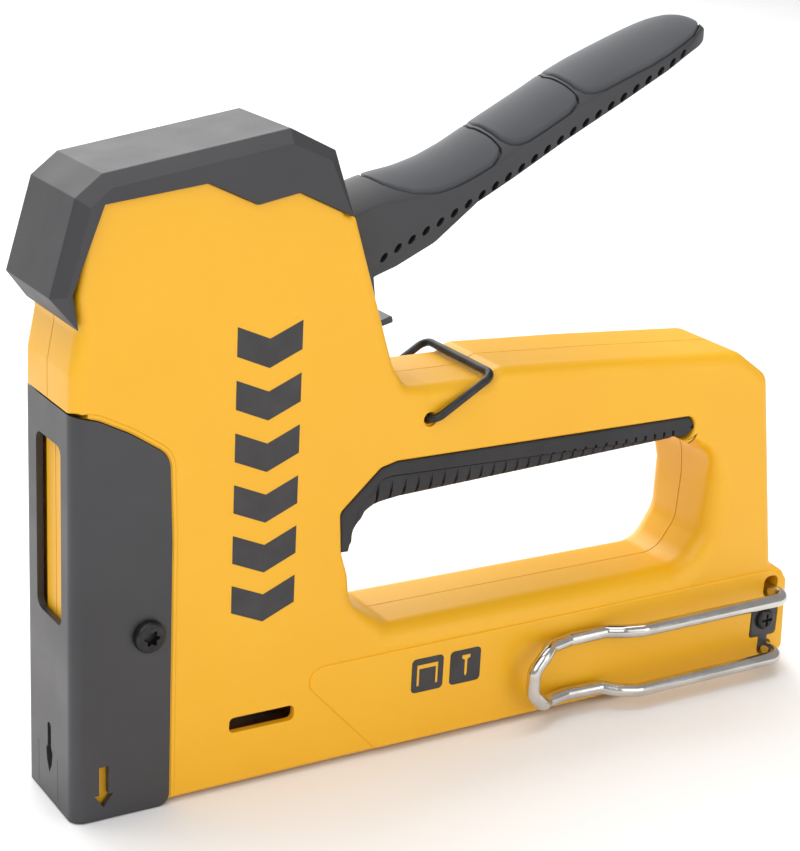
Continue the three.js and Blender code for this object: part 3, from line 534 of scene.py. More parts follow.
def coated_steel(sizes):
    # Pressed steel with a baked black coat: smooth, half gloss, with a faint orange peel.
    material, look = finish_tree("black coated steel", 0.38, ior=1.5)
    clouded(look, 30, "3b3a3d", "302f32")
    smeared(look, 45, 5, 0.32, 0.46)
    # Orange peel of about 0.8 mm.
    grained(look, 1200, 0.12, 0.00005, Detail=1)
    return material


def bright_wire(sizes):
    # Polished nickel-plated wire: mirror bright, with faint drawing lines.
    material, look = finish_tree("bright nickel plate", 0.16, metallic=1)
    clouded(look, 90, "d9d6d2", "bcb9b6")
    smeared(look, 260, 4, 0.1, 0.26)
    grained(look, 2400, 0.08, 0.00003, Detail=2)
    return material


def black_oxide(sizes):
    # Black oxide on turned steel: deep black with an oily gloss.
    material, look = finish_tree("black oxide steel", 0.36, metallic=0.6)
    clouded(look, 300, "3a393b", "242325", 0.35, 0.7)
    grained(look, 2800, 0.15, 0.00004, Detail=2)
    return material


def spring_steel(sizes):
    # Hardened strip and wire, lightly oiled: grey metal with fine rolling lines.
    material, look = finish_tree("rolled spring steel", 0.32, metallic=1)
    clouded(look, 120, "a5a6a8", "83858a")
    # Rolling lines about 0.2 mm apart run along the tool.
    tree, shader, place = look
    drawn = add_node(tree, "ShaderNodeMapping", {"Vector": place, "Scale": (0.05, 1, 1)})
    lines = (tree, shader, drawn.outputs[0])
    smeared(lines, 2200, 3, 0.24, 0.42)
    grained(lines, 3000, 0.12, 0.00003, Detail=2)
    return material


def pad_print(sizes):
    # Pad-printed black ink: flat and slightly glossy, thinner in places.
    material, look = finish_tree("black pad print", 0.4, ior=1.5)
    clouded(look, 160, "343234", "262426")
    grained(look, 3500, 0.15, 0.00003, Detail=2)
    return material


def pale_board(sizes):
    # Matt painted board.
    material, look = finish_tree("matt white board", 0.9)
    clouded(look, 3, sizes.floor, sizes.floor)
    grained(look, 700, 0.05, 0.0001)
    return material


FINISHES = {}


def finish(maker, sizes):
    if maker.__name__ not in FINISHES:
        FINISHES[maker.__name__] = maker(sizes)
    return FINISHES[maker.__name__]


# ------------------------------------------------------------------ sizes a user would change
class StapleGunSizes(bpy.types.PropertyGroup):
    yellow_light: bpy.props.StringProperty(
        name="Housing colour", description="sRGB hex of the moulded housing", default="f0b20e")
    yellow_dark: bpy.props.StringProperty(
        name="Housing shade", description="sRGB hex of its darker clouds", default="edad0a")
    floor: bpy.props.StringProperty(name="Floor colour", description="sRGB hex of the floor",
                                    default="f4f4f4")
    slit_span: bpy.props.FloatVectorProperty(
        name="Slit span", description="First and last slit of the finger insert, in mm from the nose",
        size=2, default=(70.5, 149.5))
    chevrons: bpy.props.IntProperty(
        name="Chevrons", description="Printed chevrons on the left side", default=6, min=1)
    slit_count: bpy.props.IntProperty(
        name="Slits", description="Slits across the finger insert", default=27, min=2)
    hole_count: bpy.props.IntProperty(
        name="Lever notches", description="Notches along each lower edge of the lever", default=24, min=1)
    hook_wire: bpy.props.FloatProperty(
        name="Hook wire", description="Diameter of the belt hook's wire, in mm", default=3.2, min=1)
    lock_wire: bpy.props.FloatProperty(
        name="Lock wire", description="Diameter of the lever lock's wire, in mm", default=1.8, min=1)
    lens: bpy.props.FloatProperty(
        name="Lens", description="Focal length on a 36 mm sensor, in mm", default=86.1, min=20)
    key: bpy.props.FloatProperty(
        name="Key light", description="Power of the main soft light", default=8.4, min=0, unit="POWER")


def reach(side, inner, outer=30):
    """Depth limits on one side of the mid plane."""
    return (-outer, -inner) if side < 0 else (inner, outer)


# ------------------------------------------------------------------ operators
class StapleGunPiece:
    bl_options = {"REGISTER"}

    def execute(self, context):
        self.build(context.scene.staple_gun_sizes)
        return {"FINISHED"}


class STAPLEGUN_OT_housing(StapleGunPiece, bpy.types.Operator):
    """Builds the two moulded housing halves with their rounded rims, recesses and parting line"""
    bl_idname = "staplegun.housing"
    bl_label = "Housing halves"

    def build(self, sizes):
        material = finish(yellow_abs, sizes)
        belt = [(52.6, 22.2, 3, 2.2), (58, 24.6, 4, 2.2), (184.2, 25.4, 3, 2.2), (189.4, 22.8, 2.4, 1.0),
                (190.4, 4, 2.4, 0.8), (188.6, 1.5, 1.6, 0.8), (72, 1.5, 4, 2.0)]
        for name, side in (("housing_left", -1), ("housing_right", 1)):
            outer_rim = (1, 0) if side < 0 else (0, 1)
            half = slab(name + "_skin", HOUSING_SIDE, *reach(side, SEAM, BODY_HALF), [FINGER_OPENING],
                        outer_rim)
            combined(half, slab("belt", belt, *reach(side, BODY_HALF - 3, BODY_HALF + PROUD),
                                rims=[0.2 * factor for factor in outer_rim]), "UNION")
            own = self.left_cuts() if side < 0 else self.screw_wells()
            for cutter in self.seats(side) + self.hollows() + own + self.pivot_holes(side):
                combined(half, cutter)
            finished(half, material, "frame", [name], angle=32)
        # A small bead of the housing follows the cover's rear edge.
        path = [(x, z) for x, z, _, _ in grown(COVER_SIDE, 0.85)][1:]
        path[0] = (3.4, 88.9)
        path[-1] = (path[-1][0], 1.6)
        for name, side in (("cover_bead_left", -1), ("cover_bead_right", 1)):
            line = [(x, side * (BODY_HALF - 0.3), z) for x, z in path]
            bead = bent_wire(name, line, 1.2, 6.0, material, 6, 14)
            finished(bead, material, "frame", angle=60, weighted=False)

    def seats(self, side):
        """The recesses under the cover and the cap."""
        bend = [(-2, side * 9.3), (1.8, side * 9.3), (3.6, side * RECESS), (5.5, side * 20), (-2, side * 20)]
        return [
            crisp("cover_seat", grown(COVER_SIDE, 0.2), *reach(side, RECESS)),
            crisp("cap_seat", grown(CAP_SIDE, 0.15), *reach(side, RECESS)),
            crisp("bend_seat", bend, -1, 89.3, plane="plan"),
        ]

    def hollows(self):
        """The room for the blade, the striker, the magazine and the lever."""
        boxes = [
            ("blade_way", (4.6, -8.8, 0), (6.7, 8.8, 60)),
            ("striker_bore", (4.6, -8.8, 43.2), (24.2, 8.8, 121.9)),
            ("far_step", (0, 4.9, 26), (3.2, 12, 89.2)),
            ("near_step", (0, -12, 26), (3.2, -6.2, 89.2)),
            ("plate_pocket", (0, -8.3, -1), (4.9, 8.3, 26.3)),
            ("magazine_way", (4.9, -6.8, -1), (200, 6.8, 15.9)),
            ("lip_way", (4.9, -8.2, 14.3), (200, 8.2, 15.9)),
            ("door", (180.7, -8.4, -1), (200, 8.4, 18.6)),
        ]
        lever_way = [(24, 104), (24, 126), (44, 131), (56, 123), (90, 123), (90, 94.5), (74.6, 89.5),
                     (42, 89.5)]
        return [box_of(*row) for row in boxes] + [crisp("lever_way", lever_way, -9.2, 9.2)]

    def left_cuts(self):
        """The staple window, the seat of the hook's clamp and the slots for its wire."""
        return [
            crisp("staple_window", framed((35.6, 13.2), (51.2, 16.8), 1.2), -30, -6),
            box_of("window_room", (32, -11, 9), (56, -6, 18.4)),
            crisp("clamp_seat", framed((179.3, 7.7), (187.9, 17.7), 1), -30, 0.6 - BODY_HALF),
            crisp("upper_slot", framed((182.4, 18.2), (186.8, 23.8), 1.7), -30, -9),
            crisp("lower_slot", framed((182.4, 2.6), (186.8, 6.6), 1.7), -30, -9),
        ]

    def screw_wells(self):
        """A round well for each case screw."""
        middles = [centre_of(node) for node in CASE_SCREWS]
        return [bored("screw_well", (x, z), "y", 3.3, 9.2, 30) for x, _, z in middles]

    def pivot_holes(self, side):
        """The holes that hold the lever lock."""
        return [bored("pivot_well", LOCK_PIVOT, "y", 1.7, *reach(side, BODY_HALF - 0.8)),
                bored("pivot_hole", LOCK_PIVOT, "y", 1.3, *reach(side, 8))]


class STAPLEGUN_OT_nose(StapleGunPiece, bpy.types.Operator):
    """Builds the pressed steel nose cover and its two six-lobe screws"""
    bl_idname = "staplegun.nose"
    bl_label = "Nose cover"

    def build(self, sizes):
        material = finish(coated_steel, sizes)
        half, wall, bend = COVER_HALF, 1.5, 3.0
        outer = [(0, -half, bend), (40, -half), (40, -half + wall), (wall, -half + wall, bend - wall)]
        plan = outer + [(x, -y, *rest) for x, y, *rest in outer[::-1]]
        cover = crisp("nose_cover_skin", plan, -1, 100, plane="plan", bend_steps=8)
        combined(cover, crisp("outline", COVER_SIDE, -30, 30), "INTERSECT")
        window = [(-7.0, 42.4, 1.8), (6.1, 42.4, 2.4), (6.1, 81, 2.4), (-7.0, 81, 1.8)]
        half_arrow = [(1.3, 8.6, 0.6), (1.75, 11.4, 0.4), (0.95, 12.4, 0.3), (0.95, 17.4, 0.5)]
        arrow = [(0, 6.3), *half_arrow, (0, 18.2, 0.5)] + [(-y, z, bend) for y, z, bend in half_arrow[::-1]]
        tools = [crisp("window", window, -1, 4, plane="front"),
                 crisp("front_arrow", arrow, -1, 3, plane="front")]
        for y in (6.0, -4.6):
            line = framed((y - 0.08, 1.6), (y + 0.08, 11.4))
            tools.append(crisp("front_line", line, -1, 0.3, plane="front"))
        middle, tip, top, shaft, head = 6.8, 2.9, 12.2, 1.05, 2.1
        rise = tip + 1.35 * head
        arrow = [(middle, tip)] + [(middle + x, z) for x, z in (
            (head, rise), (shaft, rise), (shaft, top), (-shaft, top), (-shaft, rise), (-head, rise))]
        for side in (-1, 1):
            tools.append(crisp("side_arrow", arrow, *reach(side, 8)))
        for cutter in tools:
            combined(cover, cutter)
        softened(cover, 0.28, 2, 45)
        finished(cover, material, "frame", ["nose_cover"])
        black = finish(black_oxide, sizes)
        for name, side in (("nose_screw_left", -1), ("nose_screw_right", 1)):
            x, _, z = centre_of(name)
            screw = six_lobe_screw(name + "_skin", 3.5, 2.2, side)
            screw.data.transform(Matrix.Translation((x, side * (half + 2.0), z)))
            finished(screw, black, "frame", [name], angle=38)


def screw_head(name, radius, height, side, shank=1.4, length=5):
    """A domed head with its top face at Y = 0, pointing out on one side, with a plain shank behind it."""
    profile = [(0.0, 0.02), (radius * 0.72, 0.0), (radius * 0.9, height * 0.12), (radius, height * 0.38),
               (radius, height), (shank, height), (shank, height + length), (0, height + length)]
    count = 36
    turns = [2 * math.pi * k / count for k in range(count)]
    points = [(r * math.cos(a), -side * depth, r * math.sin(a)) for r, depth in profile for a in turns]
    return mesh_from(name, points, banded(0, len(profile), count))


def six_lobe_screw(name, radius, height, side):
    """A domed head with a six-lobe socket."""
    screw = screw_head(name, radius, height, side)
    lobes = []
    for turn in (2 * math.pi * k / 48 for k in range(48)):
        wide = radius * (0.42 + 0.09 * math.cos(6 * turn))
        lobes.append((wide * math.cos(turn), wide * math.sin(turn)))
    combined(screw, crisp("socket", lobes, *sorted((side * 1.0, -side * height * 0.75))))
    return softened(screw, 0.12, 2, 40)


def cross_screw(name, radius, height, side):
    """A domed head with a cross recess."""
    screw = screw_head(name, radius, height, side, shank=0.9, length=2)
    arm, reach_out = radius * 0.13, radius * 0.62
    cross = [(arm, arm), (arm, reach_out), (-arm, reach_out), (-arm, arm), (-reach_out, arm),
             (-reach_out, -arm), (-arm, -arm), (-arm, -reach_out), (arm, -reach_out), (arm, -arm),
             (reach_out, -arm), (reach_out, arm)]
    combined(screw, crisp("recess", cross, *sorted((side * 1.0, -side * height * 0.6))))
    return softened(screw, 0.1, 2, 40)


class STAPLEGUN_OT_case_screws(StapleGunPiece, bpy.types.Operator):
    """Sets a six-lobe screw in each well of the right housing half"""
    bl_idname = "staplegun.case_screws"
    bl_label = "Case screws"

    def build(self, sizes):
        black = finish(black_oxide, sizes)
        shape = six_lobe_screw("case_screw_shape", 2.9, 2.0, 1)
        spots = []
        for node in CASE_SCREWS:
            x, _, z = centre_of(node)
            spots.append((x, corners_of(node)[1][1], z))
        screws = copied("case_screws", shape, spots, black, (0, 0.3, 0))
        finished(screws, black, "frame", CASE_SCREWS, angle=38)


class STAPLEGUN_OT_cap(StapleGunPiece, bpy.types.Operator):
    """Builds the moulded top cap with its broad chamfers and zigzag skirts"""
    bl_idname = "staplegun.cap"
    bl_label = "Top cap"

    def build(self, sizes):
        cap = slab("top_cap_skin", CAP_SIDE, -CAP_HALF, CAP_HALF, rims=(1, 1), steps=1)
        combined(cap, crisp("body_room", grown(HOUSING_SIDE, 0.12), -RECESS - 0.25, RECESS + 0.25))
        combined(cap, crisp("lever_room", [(54, 120), (52, 132.6), (66, 138), (90, 120)], -9.6, 9.6))
        softened(cap, 0.45, 3, 22)
        finished(cap, finish(black_nylon, sizes), "frame", ["top_cap"], angle=50)


class STAPLEGUN_OT_insert(StapleGunPiece, bpy.types.Operator):
    """Builds the rubber insert and its row of ribs"""
    bl_idname = "staplegun.insert"
    bl_label = "Finger insert"

    def build(self, sizes):
        rubber = finish(black_rubber, sizes)
        half = BODY_HALF - 0.3
        insert = slab("finger_insert_skin", INSERT_BAND, -half, half)
        combined(insert, slab("keel", INSERT_KEEL, 1.0 - half, half - 1.0), "UNION")
        # A groove parts the band from the keel.
        edge = [(64.3, 50), (65.1, 59.7), (71, 65.6), (73.2, 66.1), (150.3, 64.7)]
        groove = edge + [(x + 0.35, z - 0.4) for x, z in edge[::-1]]
        for side in (-1, 1):
            combined(insert, crisp("groove", groove, *reach(side, half - 1.7)))
        # Fine slits wrap the keel below the band; they crowd together towards the rear.
        right = [(half + 2, 50), (half + 2, 64.9), (half - 1.0, 64.9), (half - 1.5, 62.4, 1),
                 (half - 4.4, 60.7, 2)]
        wrap = right + [(-y, z, *bend) for y, z, *bend in right[::-1]]
        shape = crisp("slit", wrap, -0.34, 0.34, plane="front")
        first, last = sizes.slit_span
        shares = np.linspace(0, 1, sizes.slit_count)
        spots = [(first + (last - first) * (t * 1.13 - 0.13 * t * t), 0, 1.4 * t) for t in shares]
        combined(insert, copied("slits", shape, spots, rubber))
        finished(insert, rubber, "frame", ["finger_insert"])


CREST = [(58, 125), (64.4, 127.5), (69.6, 129.2), (72.5, 129.8), (78.5, 130.8), (84.4, 132.5), (90.4, 135.1),
         (95.2, 137.7), (100, 140.4), (105.5, 143.3), (111, 146.2), (116.5, 149.3), (122.1, 152.0),
         (128.5, 154.6), (133.6, 156.6), (138.8, 158.5), (142.7, 159.7), (146.8, 160.4), (150.2, 160.3),
         (153, 159.6), (155, 158.2), (156.4, 156.4)]
LOWER = [(58, 109), (67.5, 111.6), (70.1, 112.2), (73.8, 114.4), (77.8, 116.4), (84.7, 120.1), (91.7, 124),
         (101.1, 129), (113.6, 136.1), (126.4, 142.8), (138.5, 149.4), (144.5, 152.6), (148, 153.9),
         (152, 154.7), (156.4, 155.3)]
HALF_WIDTH = [(58, 8.6), (70, 8.6), (76, 8.9), (82, 9.5), (88, 10.1), (94, 10.4), (140, 10.4), (143, 9.9),
              (146, 9.1), (149, 7.8), (152, 5.7), (154.2, 3.7), (155.6, 2.1), (156.4, 0.8)]
CROWN = 0.062  # fall of the lever's back, per mm squared of half width


def smooth_line(table, xs, spread=2.0):
    """A table of (x, value) read smoothly."""
    given = np.array(table, float)
    offsets = np.linspace(-1, 1, 9)
    weights = 1 - offsets ** 2
    around = [np.clip(xs + o * spread, given[0, 0], given[-1, 0]) for o in offsets]
    reads = [np.interp(x, given[:, 0], given[:, 1]) for x in around]
    # towards the ends the spread closes, so that the ends stay in place
    near = np.minimum(1, np.minimum(xs - given[0, 0], given[-1, 0] - xs) / spread)[:, None].clip(0)
    mean = np.average(np.array(reads), axis=0, weights=weights)
    plain = np.interp(xs, given[:, 0], given[:, 1])
    return mean * near[:, 0] + plain * (1 - near[:, 0])


class STAPLEGUN_OT_lever(StapleGunPiece, bpy.types.Operator):
    """Builds the lever: crowned moulded shell with notched edges, three inset pads and steel core"""
    bl_idname = "staplegun.lever"
    bl_label = "Lever"

    def shell(self):
        tail = 156.4 - 8 * (1 - np.sin(np.linspace(0, math.pi / 2, 22)))
        xs = np.concatenate([np.linspace(60, 148.2, 90), tail])
        crest, lower, half = (smooth_line(t, xs) for t in (CREST, LOWER, HALF_WIDTH))
        points = []
        across_top = np.linspace(-1, 1, 33)
        for x, zc, zl, w in zip(xs, crest, lower, half):
            wall = min(2.2, w * 0.6)
            edge_fall = CROWN * w ** 2
            ring = []
            for inset, round_off in ((0, 1.0), (wall, 0.5)):
                width = w - inset
                top = zc - inset
                row = [(-width, zl), (-width, zl * 0.5 + (top - edge_fall) * 0.5)]
                for t in across_top:
                    y = width * math.sin(t * math.pi / 2)
                    # the shoulder rounds into the wall
                    shoulder = round_off * (1 - math.sqrt(max(0.0, 1 - abs(t) ** 14)))
                    row.append((y, max(top - CROWN * y * y - shoulder, zl + 0.2)))
                row += [(width, row[1][1]), (width, zl)]
                ring += row if not inset else row[::-1]
            points += [(x, y, z) for y, z in ring]
        count = len(points) // len(xs)
        faces = banded(0, len(xs), count)
        faces += [tuple(range(count)), tuple(range(len(points) - count, len(points)))]
        return mesh_from("lever_shell_skin", points, faces)

    def patch(self, name, front, rear, edge, spread, top, bottom, rounding):
        """A slab of the crowned back between a front and a rear line, each (|y|, x)."""
        across_steps, along_steps = 41, 49
        front, rear, edge = (np.array(t, float) for t in (front, rear, edge))
        v = np.sin(np.linspace(-1, 1, across_steps) * math.pi / 2)
        u = 0.5 + 0.5 * np.sin(np.linspace(-1, 1, along_steps) * math.pi / 2)
        layers = [(spread, top - rounding), (spread - rounding * 0.3, top - rounding * 0.3),
                  (spread - rounding, top)]
        grid = []
        for width, rise in layers + [(spread, bottom)]:
            rows = []
            for vi in v:
                start = np.interp(abs(vi), front[:, 0], front[:, 1]) - width
                stop = np.interp(abs(vi), rear[:, 0], rear[:, 1]) + width
                for ui in u:
                    x = start + (stop - start) * ui
                    y = vi * (np.interp(x, edge[:, 0], edge[:, 1]) + width)
                    rows.append((x, y, rise))
            block = np.array(rows)
            z = smooth_line(CREST, block[:, 0]) - CROWN * block[:, 1] ** 2 + block[:, 2]
            grid.append(np.stack([block[:, 0], block[:, 1], z], 1))

        def border(offset):
            a = [offset + j for j in range(along_steps)]
            b = [offset + i * along_steps + along_steps - 1 for i in range(1, across_steps)]
            c = [offset + (across_steps - 1) * along_steps + j for j in range(along_steps - 2, -1, -1)]
            d = [offset + i * along_steps for i in range(across_steps - 2, 0, -1)]
            return a + b + c + d

        size = across_steps * along_steps
        points = np.concatenate([grid[3], grid[0], grid[1], grid[2]])
        faces = []
        for offset in (0, 3 * size):
            for i in range(across_steps - 1):
                for j in range(along_steps - 1):
                    a = offset + i * along_steps + j
                    faces.append((a, a + 1, a + along_steps + 1, a + along_steps))
        for low, high in ((0, size), (size, 2 * size), (2 * size, 3 * size)):
            ring_low, ring_high = border(low), border(high)
            for k in range(len(ring_low)):
                j = (k + 1) % len(ring_low)
                faces.append((ring_low[k], ring_low[j], ring_high[j], ring_high[k]))
        used = sorted({i for face in faces for i in face})
        index = {old: new for new, old in enumerate(used)}
        return mesh_from(name, points[used], [tuple(index[i] for i in face) for face in faces])

    def build(self, sizes):
        nylon = finish(black_nylon, sizes)
        shell = self.shell()
        # Lines are (share of the half width, x), swept back towards the edges; the far corners are rounded.
        pads = {
            "lever_pad_front": (
                [(0, 70), (0.35, 71), (0.6, 72.3), (0.8, 74.6), (0.93, 78), (1, 83)],
                [(0, 95.4), (0.35, 96.2), (0.65, 97.4), (0.85, 98.1), (0.94, 97.6), (1, 95.8)],
                [(66, 7.6), (74, 7.8), (80, 8.6), (87, 9.3), (94, 9.6), (100, 9.7)]),
            "lever_pad_middle": (
                [(0, 96.9), (0.4, 97.8), (0.72, 99.2), (0.88, 100.8), (0.96, 102.6), (1, 105)],
                [(0, 113.8), (0.4, 115), (0.7, 116.3), (0.86, 117), (0.95, 116.6), (1, 114.6)],
                [(90, 9.7), (120, 9.7)]),
            "lever_pad_rear": (
                [(0, 115.3), (0.4, 116.3), (0.72, 117.8), (0.88, 119.4), (0.96, 121.2), (1, 124)],
                [(0, 154.6), (0.4, 154.2), (0.75, 152.8), (0.92, 151), (1, 148)],
                [(110, 9.6), (136, 9.5), (141, 9.1), (145, 8.3), (149, 6.9), (152, 4.8), (154, 3.0),
                 (156, 1.6)]),
        }
        for name, (front, rear, edge) in pads.items():
            combined(shell, self.patch("pocket", front, rear, edge, 0.5, 3, -1.2, 0.01))
            pad = self.patch(name + "_skin", front, rear, edge, 0, 0.12, -1.1, 0.35)
            finished(pad, finish(soft_pads, sizes), "lever", [name], weighted=False, angle=50)
        # Leaning notches run along both lower edges, just above a thin lip.
        xs = np.linspace(70.9, 144.2, sizes.hole_count)
        lows = smooth_line(LOWER, xs)
        widths = smooth_line(HALF_WIDTH, xs)
        turns = np.linspace(0, 2 * math.pi, 15)[:-1]
        ring = [(0.75 * math.cos(a) + 0.6 * math.sin(a), 0.95 * math.sin(a)) for a in turns]
        for side in (-1, 1):
            shape = crisp("notch", ring, *sorted((side * -1.5, side * 4.0)))
            spots = [(x, side * w, z + 0.95) for x, z, w in zip(xs, lows, widths)]
            combined(shell, copied("notches", shape, spots, nylon, (0, -0.15, 0)))
        finished(shell, nylon, "lever", ["lever_shell"], angle=40)
        self.core(sizes)

    def core(self, sizes):
        steel = finish(coated_steel, sizes)
        side = [(58, 117.5, 1), (62, 119.4, 1), (72, 124.2, 4), (82, 127, 4), (92, 131.1, 6), (104, 137.6, 4),
                (122, 146.9, 0.6), (122, 144, 0.6), (106, 135, 6), (95.5, 122.8, 10), (85.3, 114.9, 8),
                (76, 110.5, 8), (70.4, 108.6, 4), (66, 103, 1), (56, 99.6, 4), (49.8, 102.6, 2),
                (49.8, 110, 2)]
        core = crisp("lever_core_skin", side, -5.2, 5.2)
        room = [(52, 90), (52, 112), (58, 116), (72, 122.7), (92, 129.6), (104, 136.1), (122, 145.4),
                (140, 130), (100, 90)]
        combined(core, crisp("room", room, -3.7, 3.7))
        x, _, z = centre_of("lift_pin")
        arm = [(58.4, 101), (x, z - 3.4), (x, z + 3.4), (52.4, 112), (58.4, 112)]
        for tool in (crisp("arm", arm, -2.6, 2.6), bored("arm_eye", (x, z), "y", 3.4, -2.6, 2.6),
                     crisp("finger", self.finger(), -2.6, 2.6)):
            combined(core, tool, "UNION")
        combined(core, bored("pin_hole", LEVER_PIVOT, "y", 3.25, -20, 20, 36))
        combined(core, bored("lift_hole", (x, z), "y", 2.2, -20, 20))
        softened(core, 0.3, 2, 45)
        finished(core, steel, "lever", ["lever_core"])

    def finger(self):
        """The lock finger under the lever's neck, in the place of the solid one."""
        solid = [v.co for v in frame["nodes"]["lever_core"].data.vertices]
        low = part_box("lever_core")[0].z
        tips = [((co.x - COVER_LOW.x) / MM, (co.z - COVER_LOW.z) / MM) for co in solid if co.z < low + 0.004]
        x, z = max(tips)
        return [(64, 104.5), (x - 6.6, z - 2.2, 0.4), (x, z - 0.6, 0.4), (x - 0.4, z + 0.9, 0.4),
                (x - 4, z - 0.2, 0.4), (72, 109.6)]


class STAPLEGUN_OT_wires(StapleGunPiece, bpy.types.Operator):
    """Bends the belt hook and the lever lock from round wire"""
    bl_idname = "staplegun.wires"
    bl_label = "Belt hook and lever lock"

    def build(self, sizes):
        bright = finish(bright_wire, sizes)
        (front, left, _), _ = corners_of("belt_hook")
        tip = front + sizes.hook_wire / 2
        stand = -left - sizes.hook_wire / 2

        def run(z, towards):
            return [(184.6, -9.6, z), (184.6, 0.2 - stand, z), (140.5, -stand, z),
                    (136, 1.6 - stand, z + towards * 0.2), (132.5, -15.2, z + towards * 0.6),
                    (122, -15, z + towards * 0.8), (116, -16.4, z + towards * 0.9),
                    (tip + 3.4, 1.0 - stand, z + towards * 1.4), (tip, 0.7 - stand, z + towards * 5.0)]

        hook = bent_wire("belt_hook_skin", run(20.2, -1) + run(4.6, 1)[::-1], sizes.hook_wire, 3.4, bright,
                         sides=24)
        finished(hook, bright, "frame", ["belt_hook"], angle=60, weighted=False)
        dark = finish(black_oxide, sizes)
        length, rise, outer, inner = 17, math.radians(31), 14, 9.2
        bar = LOCK_PIVOT + length * Vector((math.cos(rise), math.sin(rise)))
        near = [(LOCK_PIVOT.x, -inner, LOCK_PIVOT.y), (LOCK_PIVOT.x, -outer, LOCK_PIVOT.y),
                (bar.x, -outer, bar.y)]
        path = near + [(x, -y, z) for x, y, z in near[::-1]]
        bail = bent_wire("lock_bail_skin", path, sizes.lock_wire, 2.4, dark)
        finished(bail, dark, "lock", ["lock_bail"], angle=60, weighted=False)


class STAPLEGUN_OT_clamp(StapleGunPiece, bpy.types.Operator):
    """Builds the small plate and the cross-head screw that hold the belt hook"""
    bl_idname = "staplegun.clamp"
    bl_label = "Hook clamp"

    def build(self, sizes):
        side = [(179.6, 17.4, 0.9, 0.25), (179.6, 7.9, 0.9, 0.25), (182.3, 7.9, 0.3, 0.25),
                (182.3, 4.2, 0.3, 0.25), (185.3, 4.2, 0.3, 0.25), (185.3, 7.9, 0.3, 0.25),
                (187.6, 7.9, 0.9, 0.25), (187.6, 17.4, 0.9, 0.25)]
        face = -BODY_HALF - 0.55
        plate = slab("hook_clamp_skin", side, face, face + 1.5, steps=3)
        finished(plate, finish(coated_steel, sizes), "frame", ["hook_clamp"])
        screw = cross_screw("hook_screw_skin", 2.6, 1.3, -1)
        screw.data.transform(Matrix.Translation((183.6, face - 1.2, 12.4)))
        finished(screw, finish(black_oxide, sizes), "frame", ["hook_screw"], angle=38)


class STAPLEGUN_OT_marks(StapleGunPiece, bpy.types.Operator):
    """Prints a plain column of chevrons and two pictograms on the left side"""
    bl_idname = "staplegun.marks"
    bl_label = "Printed marks"

    def build(self, sizes):
        ink = finish(pad_print, sizes)
        surface = -BODY_HALF
        wide, thick, point, pitch = 14.8, 6.2, 3.2, 11.2
        chevron = [(0, 0), (0, -thick), (wide / 2, -thick - point), (wide, -thick), (wide, 0),
                   (wide / 2, -point)]
        shape = crisp("chevron", chevron, surface - FILM, surface + 0.2)
        marks = copied("chevrons", shape, [(35.4, 0, 103.5 - i * pitch) for i in range(sizes.chevrons)], ink)
        finished(marks, ink, "frame", weighted=False)
        staple = [(82.0, 20.0), (87.5, 20.0), (87.5, 14.9), (86.9, 14.9), (86.9, 19.0), (82.6, 19.0),
                  (82.6, 14.9), (82.0, 14.9)]
        nail = [(93.9, 20.2), (96.1, 20.2), (96.1, 19.4), (95.35, 19.0), (95.35, 15.6), (95.0, 14.8),
                (94.65, 15.6), (94.65, 19.0), (93.9, 19.4)]
        raised = surface - PROUD
        signs = (("staple_sign", 80.6, 88.9, staple), ("nail_sign", 90.7, 98.9, nail))
        for name, front, rear, symbol in signs:
            plate = crisp(name, framed((front, 13.3), (rear, 21.6), 1.1), raised - FILM, raised + 0.2)
            combined(plate, crisp("symbol", symbol, raised - 1, raised + 1))
            finished(plate, ink, "frame", weighted=False)


class STAPLEGUN_OT_inside(StapleGunPiece, bpy.types.Operator):
    """Gives the working parts inside their real finishes and winds the springs"""
    bl_idname = "staplegun.inside"
    bl_label = "Inside parts"

    def build(self, sizes):
        looks = {
            "spring_steel": spring_steel, "black_plastic": black_nylon, "black_rubber": black_rubber,
            "coated_steel": coated_steel, "black_screws": black_oxide, "soft_pads": soft_pads,
            "yellow_plastic": yellow_abs, "bright_wire": bright_wire,
        }
        slots = {row["node"]: row["material_slot"] for row in frame["record"]["subparts"]}
        for name, node in frame["nodes"].items():
            node.data.materials.clear()
            node.data.materials.append(finish(looks[slots[name]], sizes))
        steel = finish(spring_steel, sizes)
        self.spring("drive_spring", "frame", 0.8, 11.0, 2, 1, (0.0, 0.0, 0.0), steel)
        self.spring("pusher_spring", "magazine", 0.3, 26.0, 0, 2, (0.0, math.pi / 2, 0.0), steel)

    def spring(self, node, body, wire_radius, turns, along, across, turn, steel):
        """A coil in the place of a solid one, with its length and its width on two of the axes 0, 1 and 2."""
        low, high = corners_of(node)
        foot = centre_of(node)
        foot[1] = 0.0
        foot[along] = low[along] + wire_radius
        coil = grown_from(node + "_skin", coil_tree(), {
            "Wire radius": wire_radius, "Coil radius": (high[across] - low[across]) / 2 - wire_radius,
            "Turns": turns, "Height": high[along] - low[along] - 2 * wire_radius, "Foot": tuple(foot),
            "Turn": turn, "Material": steel})
        finished(coil, steel, body, [node], angle=60, weighted=False)


